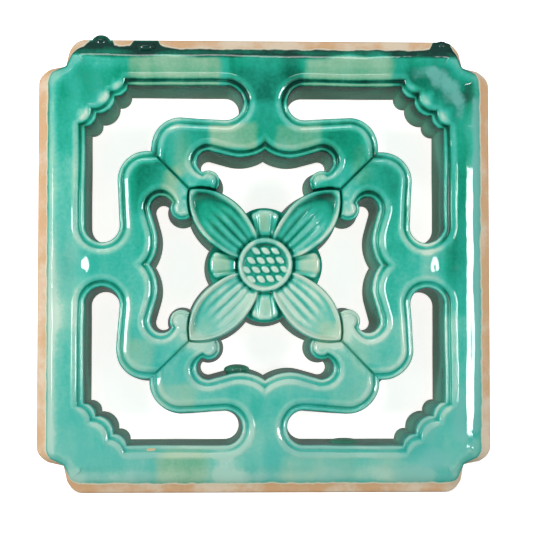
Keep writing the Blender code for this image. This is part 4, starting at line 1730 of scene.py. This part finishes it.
@dataclass
class BreezeBlock:
    """The whole block: slab, flower, hollows, drips, its handmade waviness and its glaze."""

    low: Vector
    high: Vector
    wave_length: float = 0.060
    wave_height: float = 0.00035
    middling_length: float = 0.027
    middling_height: float = 0.00060
    ripple_length: float = 0.013
    ripple_height: float = 0.00012
    still_edge: float = 0.004
    still_blend: float = 0.012
    still_share: float = 0.3
    front_skin: float = 0.001
    smooth_angle: float = math.radians(38)
    glaze_line: float = 0.0050
    wall_line: float = 0.0480
    border_strip: float = 0.025
    wall_start: float = 0.0045
    wall_blend: float = 0.006
    wall_pool: float = 0.70
    # How much paler the walls grow towards the back: thinner glaze there, and painted bounce light.
    wall_thinning_and_bounce: float = 1.50
    wall_fade_start: float = 0.010
    wall_fade_length: float = 0.038
    seeds_radius: float = 0.0145
    seeds_blend: float = 0.001
    seeds_depth: float = 0.0030
    seeds_rise: float = 0.0015
    seeds_thinner: float = 0.9
    drip_pool: float = 1.3
    drip_reach: float = 1.6
    tongue_skirt: float = 0.0045
    skirt_width: float = 1.6
    tongue_length: float = 0.0085
    tongue_from: float = 0.12

    def build(self) -> bpy.types.Object:
        """Model the block, glaze it and put it in its place.

        Returns:
            The block, as yet without its material.
        """
        side = self.high.x - self.low.x
        depth = self.high.y - self.low.y
        outlines = FaceOutlines(side)
        slab = PiercedSlab(outlines, OuterEdge(side, depth), Moulding(depth))
        block = slab.build()
        LOG.info("slab: %d faces", len(block.data.polygons))
        combine(block, Hollows(outlines).build(), Cut.TAKE_AWAY)
        petals = copies_round(Petal(outlines).build(), math.pi / 4)
        sepals = copies_round(Sepal(outlines).build(), 0.0)
        disc = SeedDisc(outlines).build()
        combine(block, petals + sepals + disc + drip_pieces(DRIPS), Cut.ADD)
        LOG.info("with flower and drips: %d faces", len(block.data.polygons))
        LOG.info("reading the relief")
        flow = GlazeFlow(side)
        flow.read(block)
        self.glaze(block, flow, side)
        self.make_wavy(block)
        block.data.transform(self.place())
        for face in block.data.polygons:
            face.use_smooth = True
        activate(block)
        bpy.ops.object.shade_smooth_by_angle(angle=self.smooth_angle)
        return block

    def place(self) -> Matrix:
        """From the face's own frame to the block's place."""
        middle = (self.low + self.high) / 2
        return Matrix.Translation((middle.x, self.low.y, middle.z))

    def glaze(self, block: bpy.types.Object, flow: GlazeFlow, side: float) -> None:
        """Store how thick the glaze is, with painted shade and highlights in it, the painted sheen, and how
        deep the glaze reaches, at each vertex.

        Args:
            block: The block, with its face in the plane y = 0.
            flow: The pooling and painted shade read from the relief.
            side: The block's width.
        """
        data = block.data
        count = len(data.vertices)
        places = np.empty(count * 3)
        data.vertices.foreach_get("co", places)
        u, depth, v = places.reshape(-1, 3).T
        wall = np.clip((depth - self.wall_start) / self.wall_blend, 0.0, 1.0)
        pool = flow.at(u, v) + flow.top_gain * v / (side / 2)
        # The scallop spots make the glaze pale there: thin glaze, and painted highlights.
        pool = pool + flow.patched(THICK_PATCHES + THIN_GLAZE_AND_HIGHLIGHT_SPOTS, u, v)
        on_disc = np.clip((self.seeds_radius - np.hypot(u, v)) / self.seeds_blend, 0.0, 1.0)
        raised = np.clip((self.seeds_depth - depth) / self.seeds_rise, 0.0, 1.0)
        pool -= self.seeds_thinner * on_disc * raised
        # On the walls the glaze is thick at the front and pale towards the back, partly thinner glaze and
        # partly painted bounce light.
        fade = np.clip((depth - self.wall_fade_start) / self.wall_fade_length, 0.0, 1.0)
        on_wall = self.wall_pool - self.wall_thinning_and_bounce * fade * fade * (3 - 2 * fade)
        pool = pool * (1 - wall) + wall * on_wall
        olive = flow.patched(OLIVE_PATCHES, u, v) * (1 - wall)
        # Where the painted sheen lies.
        painted_sheen = flow.patched(PAINTED_SHEEN_PATCHES, u, v) * (1 - wall)
        for drip in DRIPS:
            apart = ((u - drip.u) / drip.across) ** 2 + ((depth - drip.depth) / drip.through) ** 2
            apart += ((v - drip.v) / drip.up) ** 2
            pool = pool + self.drip_pool * np.clip(self.drip_reach - apart, 0.0, 1.0)
        outer = np.maximum(np.abs(u), np.abs(v)) > side / 2 - self.border_strip
        reach = np.where(outer, self.glaze_line, self.wall_line)
        for drip in TOP_DRIPS:
            away = (u - drip.u) / drip.across
            tongue = self.tongue_skirt * np.exp(-(away / self.skirt_width) ** 2)
            tongue += self.tongue_length * np.exp(-away ** 4)
            reach = reach + np.where(outer & (v > self.tongue_from), tongue, 0.0)
        reach = reach - side * flow.patched(CHIPS, u, v)
        layers = {"pool": pool, "olive": olive, "painted_sheen": painted_sheen, "glaze_reach": reach, "depth": depth}
        for name, values in layers.items():
            stored = data.attributes.new(name, "FLOAT", "POINT")
            stored.data.foreach_set("value", values.astype(np.float32))

    def make_wavy(self, block: bpy.types.Object) -> None:
        """Make the surface a little uneven, as hand-finished clay is, and leave the bare sides flat.

        Args:
            block: The block, with its face in the plane y = 0.
        """
        half = (self.high.x - self.low.x) / 2
        thick = self.high.y - self.low.y

        def shape(co: Vector) -> Vector:
            """Move one point of the surface.

            Args:
                co: The point.

            Returns:
                Its new place.
            """
            from_edge = half - max(abs(co.x), abs(co.z))
            free = smooth_step((from_edge - self.still_edge) / self.still_blend)
            ahead = smooth_step((thick - co.y) / (thick * 0.5))
            share = free * (self.still_share + (1.0 - self.still_share) * ahead)
            broad = noise.noise_vector(co / self.wave_length) * self.wave_height
            middling = noise.noise_vector(co / self.middling_length) * self.middling_height
            ripple = noise.noise_vector(co / self.ripple_length) * self.ripple_height
            moved = co + (broad + middling + ripple) * share
            if co.y < self.front_skin:
                for dent in DENTS:
                    away = ((co.x - dent.u) / dent.across) ** 2 + ((co.z - dent.v) / dent.up) ** 2
                    moved.y += dent.depth * math.exp(-away)
            foremost = 0.0 if co.y < thick / 2 else moved.y
            moved.y = min(max(moved.y, foremost), thick)
            return moved

        shaped(block, shape)


@dataclass(frozen=True)
class Panel:
    """A rectangular soft light: its place, its width and height in metres, and its power in watts."""

    name: str
    at: tuple[float, float, float]
    width: float
    height: float
    power: float


# A window on each side of the camera, and a panel above it.
PANELS = (
    Panel("left_window", (-0.80, -0.80, 0.17), 0.27, 0.32, 6.4),
    Panel("right_window", (0.62, -0.80, 0.17), 0.14, 0.30, 3.2),
    Panel("top_panel", (-0.30, -0.95, 1.15), 1.2, 0.16, 3.4),
)


@dataclass
class Studio:
    """A white floor and backdrop, soft light and the camera."""

    low: Vector
    high: Vector
    camera_right: float = -0.039
    camera_below: float = 0.056
    camera_away: float = 1.089
    view_width: float = 0.3542
    sensor: float = 36.0
    aim_right: float = 0.0031
    aim_up: float = -0.0036
    paper_size: float = 8.0
    paper_white: Colour = (0.88, 0.88, 0.88)
    paper_roughness: float = 0.9
    paper_glow: float = 0.80
    backdrop_gap: float = 0.010
    floor_bounce: float = 0.60
    backdrop_in_gloss: float = 0.13
    sky: float = 0.53
    sky_near_camera: float = 0.12
    camera_side: Point = (-0.93, -0.70)
    dim_sides: tuple[tuple[str, float, float, float], ...] = (("Y", 0.2, 0.8, 0.7), ("Z", 0.3, 0.8, 0.5))

    def build(self) -> None:
        """Set up the floor, the backdrop, the lights and the camera."""
        self.stage()
        for panel in PANELS:
            self.light(panel)
        self.daylight()
        self.camera()

    def stage(self) -> None:
        """A pale floor under the block and a pale backdrop close behind it."""
        upright = (math.pi / 2, 0.0, 0.0)
        behind = (0.0, self.high.y + self.backdrop_gap, 0.0)
        floor = self.sheet("floor", (0.0, 0.0, self.low.z), (0.0, 0.0, 0.0), self.floor_paper())
        backdrop = self.sheet("backdrop", behind, upright, self.backdrop_paper())

    def sheet(self, name: str, at: tuple[float, float, float], turn: tuple[float, float, float],
              paper: bpy.types.Material) -> bpy.types.Object:
        """A large square sheet of paper.

        Args:
            name: Its name.
            at: Its middle.
            turn: Its rotation.
            paper: Its material.

        Returns:
            The sheet.
        """
        deselect()
        bpy.ops.mesh.primitive_plane_add(size=self.paper_size, location=at, rotation=turn)
        made = bpy.context.object
        made.name = name
        made.data.materials.append(paper)
        return made

    def paper(self, name: str) -> MaterialBench:
        """White paper that glows a little, as yet without its surface for other rays."""
        bench = MaterialBench(name)
        bench.shader_input("Base Color", self.paper_white)
        bench.shader_input("Roughness", self.paper_roughness)
        bench.shader_input("Specular IOR Level", 0.0)
        bench.shader_input("Emission Color", (1.0, 1.0, 1.0))
        bench.shader_input("Emission Strength", self.paper_glow)
        return bench

    def floor_paper(self) -> bpy.types.Material:
        """Paper that glows for the camera, and throws only some light back on the block."""
        bench = self.paper("floor_paper")
        seen = bench.node("ShaderNodeLightPath").outputs["Is Camera Ray"]
        dull = bench.node("ShaderNodeBsdfDiffuse")
        bench.feed(dull.inputs["Color"], (self.floor_bounce, self.floor_bounce, self.floor_bounce))
        bench.show(self.either(bench, seen, dull.outputs["BSDF"], bench.shader.outputs["BSDF"]))
        return bench.material

    def backdrop_paper(self) -> bpy.types.Material:
        """Paper seen by the camera in front, and dimly in the glaze's gloss, and otherwise clear."""
        bench = self.paper("backdrop_paper")
        path = bench.node("ShaderNodeLightPath")
        front = bench.math("SUBTRACT", 1.0, bench.node("ShaderNodeNewGeometry").outputs["Backfacing"])
        clear = bench.node("ShaderNodeBsdfTransparent").outputs["BSDF"]
        dim = bench.node("ShaderNodeEmission")
        dim.inputs["Strength"].default_value = self.backdrop_in_gloss
        mirrored = bench.math("MULTIPLY", path.outputs["Is Glossy Ray"], front)
        seen = bench.math("MULTIPLY", path.outputs["Is Camera Ray"], front)
        surface = self.either(bench, mirrored, clear, dim.outputs["Emission"])
        bench.show(self.either(bench, seen, surface, bench.shader.outputs["BSDF"]))
        return bench.material

    def either(self, bench: NodeBench, share: bpy.types.NodeSocket, first: bpy.types.NodeSocket,
               second: bpy.types.NodeSocket) -> bpy.types.NodeSocket:
        """One of two surfaces, by a share.

        Args:
            bench: The bench of their material.
            share: 0 for the first and 1 for the second.
            first: The first surface.
            second: The second surface.

        Returns:
            The surface that mixes them.
        """
        made = bench.node("ShaderNodeMixShader")
        bench.join(share, made.inputs[0])
        bench.join(first, made.inputs[1])
        bench.join(second, made.inputs[2])
        return made.outputs[0]

    def light(self, panel: Panel) -> None:
        """Hang a panel so that it faces the middle of the block."""
        data = bpy.data.lights.new(panel.name, "AREA")
        data.shape = "RECTANGLE"
        data.size = panel.width
        data.size_y = panel.height
        data.energy = panel.power
        lamp = bpy.data.objects.new(panel.name, data)
        lamp.location = panel.at
        middle = (self.low + self.high) / 2
        lamp.rotation_euler = (Vector(panel.at) - middle).to_track_quat("Z", "Y").to_euler()
        bpy.context.scene.collection.objects.link(lamp)

    def daylight(self) -> None:
        """A white sky that is dark round the camera, and dimmer behind the block and above it."""
        world = bpy.data.worlds.new("studio")
        world.use_nodes = True
        bench = NodeBench(world.node_tree)
        direction = bench.node("ShaderNodeTexCoord").outputs["Generated"]
        parts = bench.node("ShaderNodeSeparateXYZ")
        bench.join(direction, parts.inputs[0])
        dark = self.sky_near_camera * self.sky
        strength = bench.between(parts.outputs["Y"], *self.camera_side, dark, self.sky)
        for axis, low, high, dimmed in self.dim_sides:
            part = bench.between(parts.outputs[axis], low, high, 1.0, dimmed)
            strength = bench.math("MULTIPLY", strength, part)
        background = bench.tree.nodes["Background"]
        bench.join(strength, background.inputs["Strength"])
        bench.feed(background.inputs["Color"], (1.0, 1.0, 1.0))
        bpy.context.scene.world = world
        bpy.context.scene.view_settings.view_transform = "Standard"

    def camera(self) -> None:
        """The camera, a little left of and below the block's middle, as in the photograph."""
        middle = (self.low + self.high) / 2
        data = bpy.data.cameras.new("camera")
        data.sensor_width = self.sensor
        data.lens = self.sensor * self.camera_away / self.view_width
        eye = bpy.data.objects.new("camera", data)
        eye.location = (self.camera_right, self.low.y - self.camera_away, middle.z - self.camera_below)
        aim = Vector((self.aim_right, self.low.y, middle.z + self.aim_up))
        eye.rotation_euler = (aim - eye.location).to_track_quat("-Z", "Y").to_euler()
        bpy.context.scene.collection.objects.link(eye)
        bpy.context.scene.camera = eye


def main() -> None:
    """Build the block and its studio, and log the face counts along the way."""
    logging.basicConfig(level=logging.INFO, format="%(name)s: %(message)s")
    noise.seed_set(NOISE_SEED)
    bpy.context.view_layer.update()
    low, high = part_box(NODE)
    Studio(low, high).build()
    block = BreezeBlock(low, high).build()
    block.data.materials.clear()
    block.data.materials.append(GlazedClay(GlazeFinish(), ClayFinish()).material)
    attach(block, "root")
    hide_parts(NODE)
    LOG.info("%s: %d faces", block.name, len(block.data.polygons))


if __name__ == "__main__":
    main()
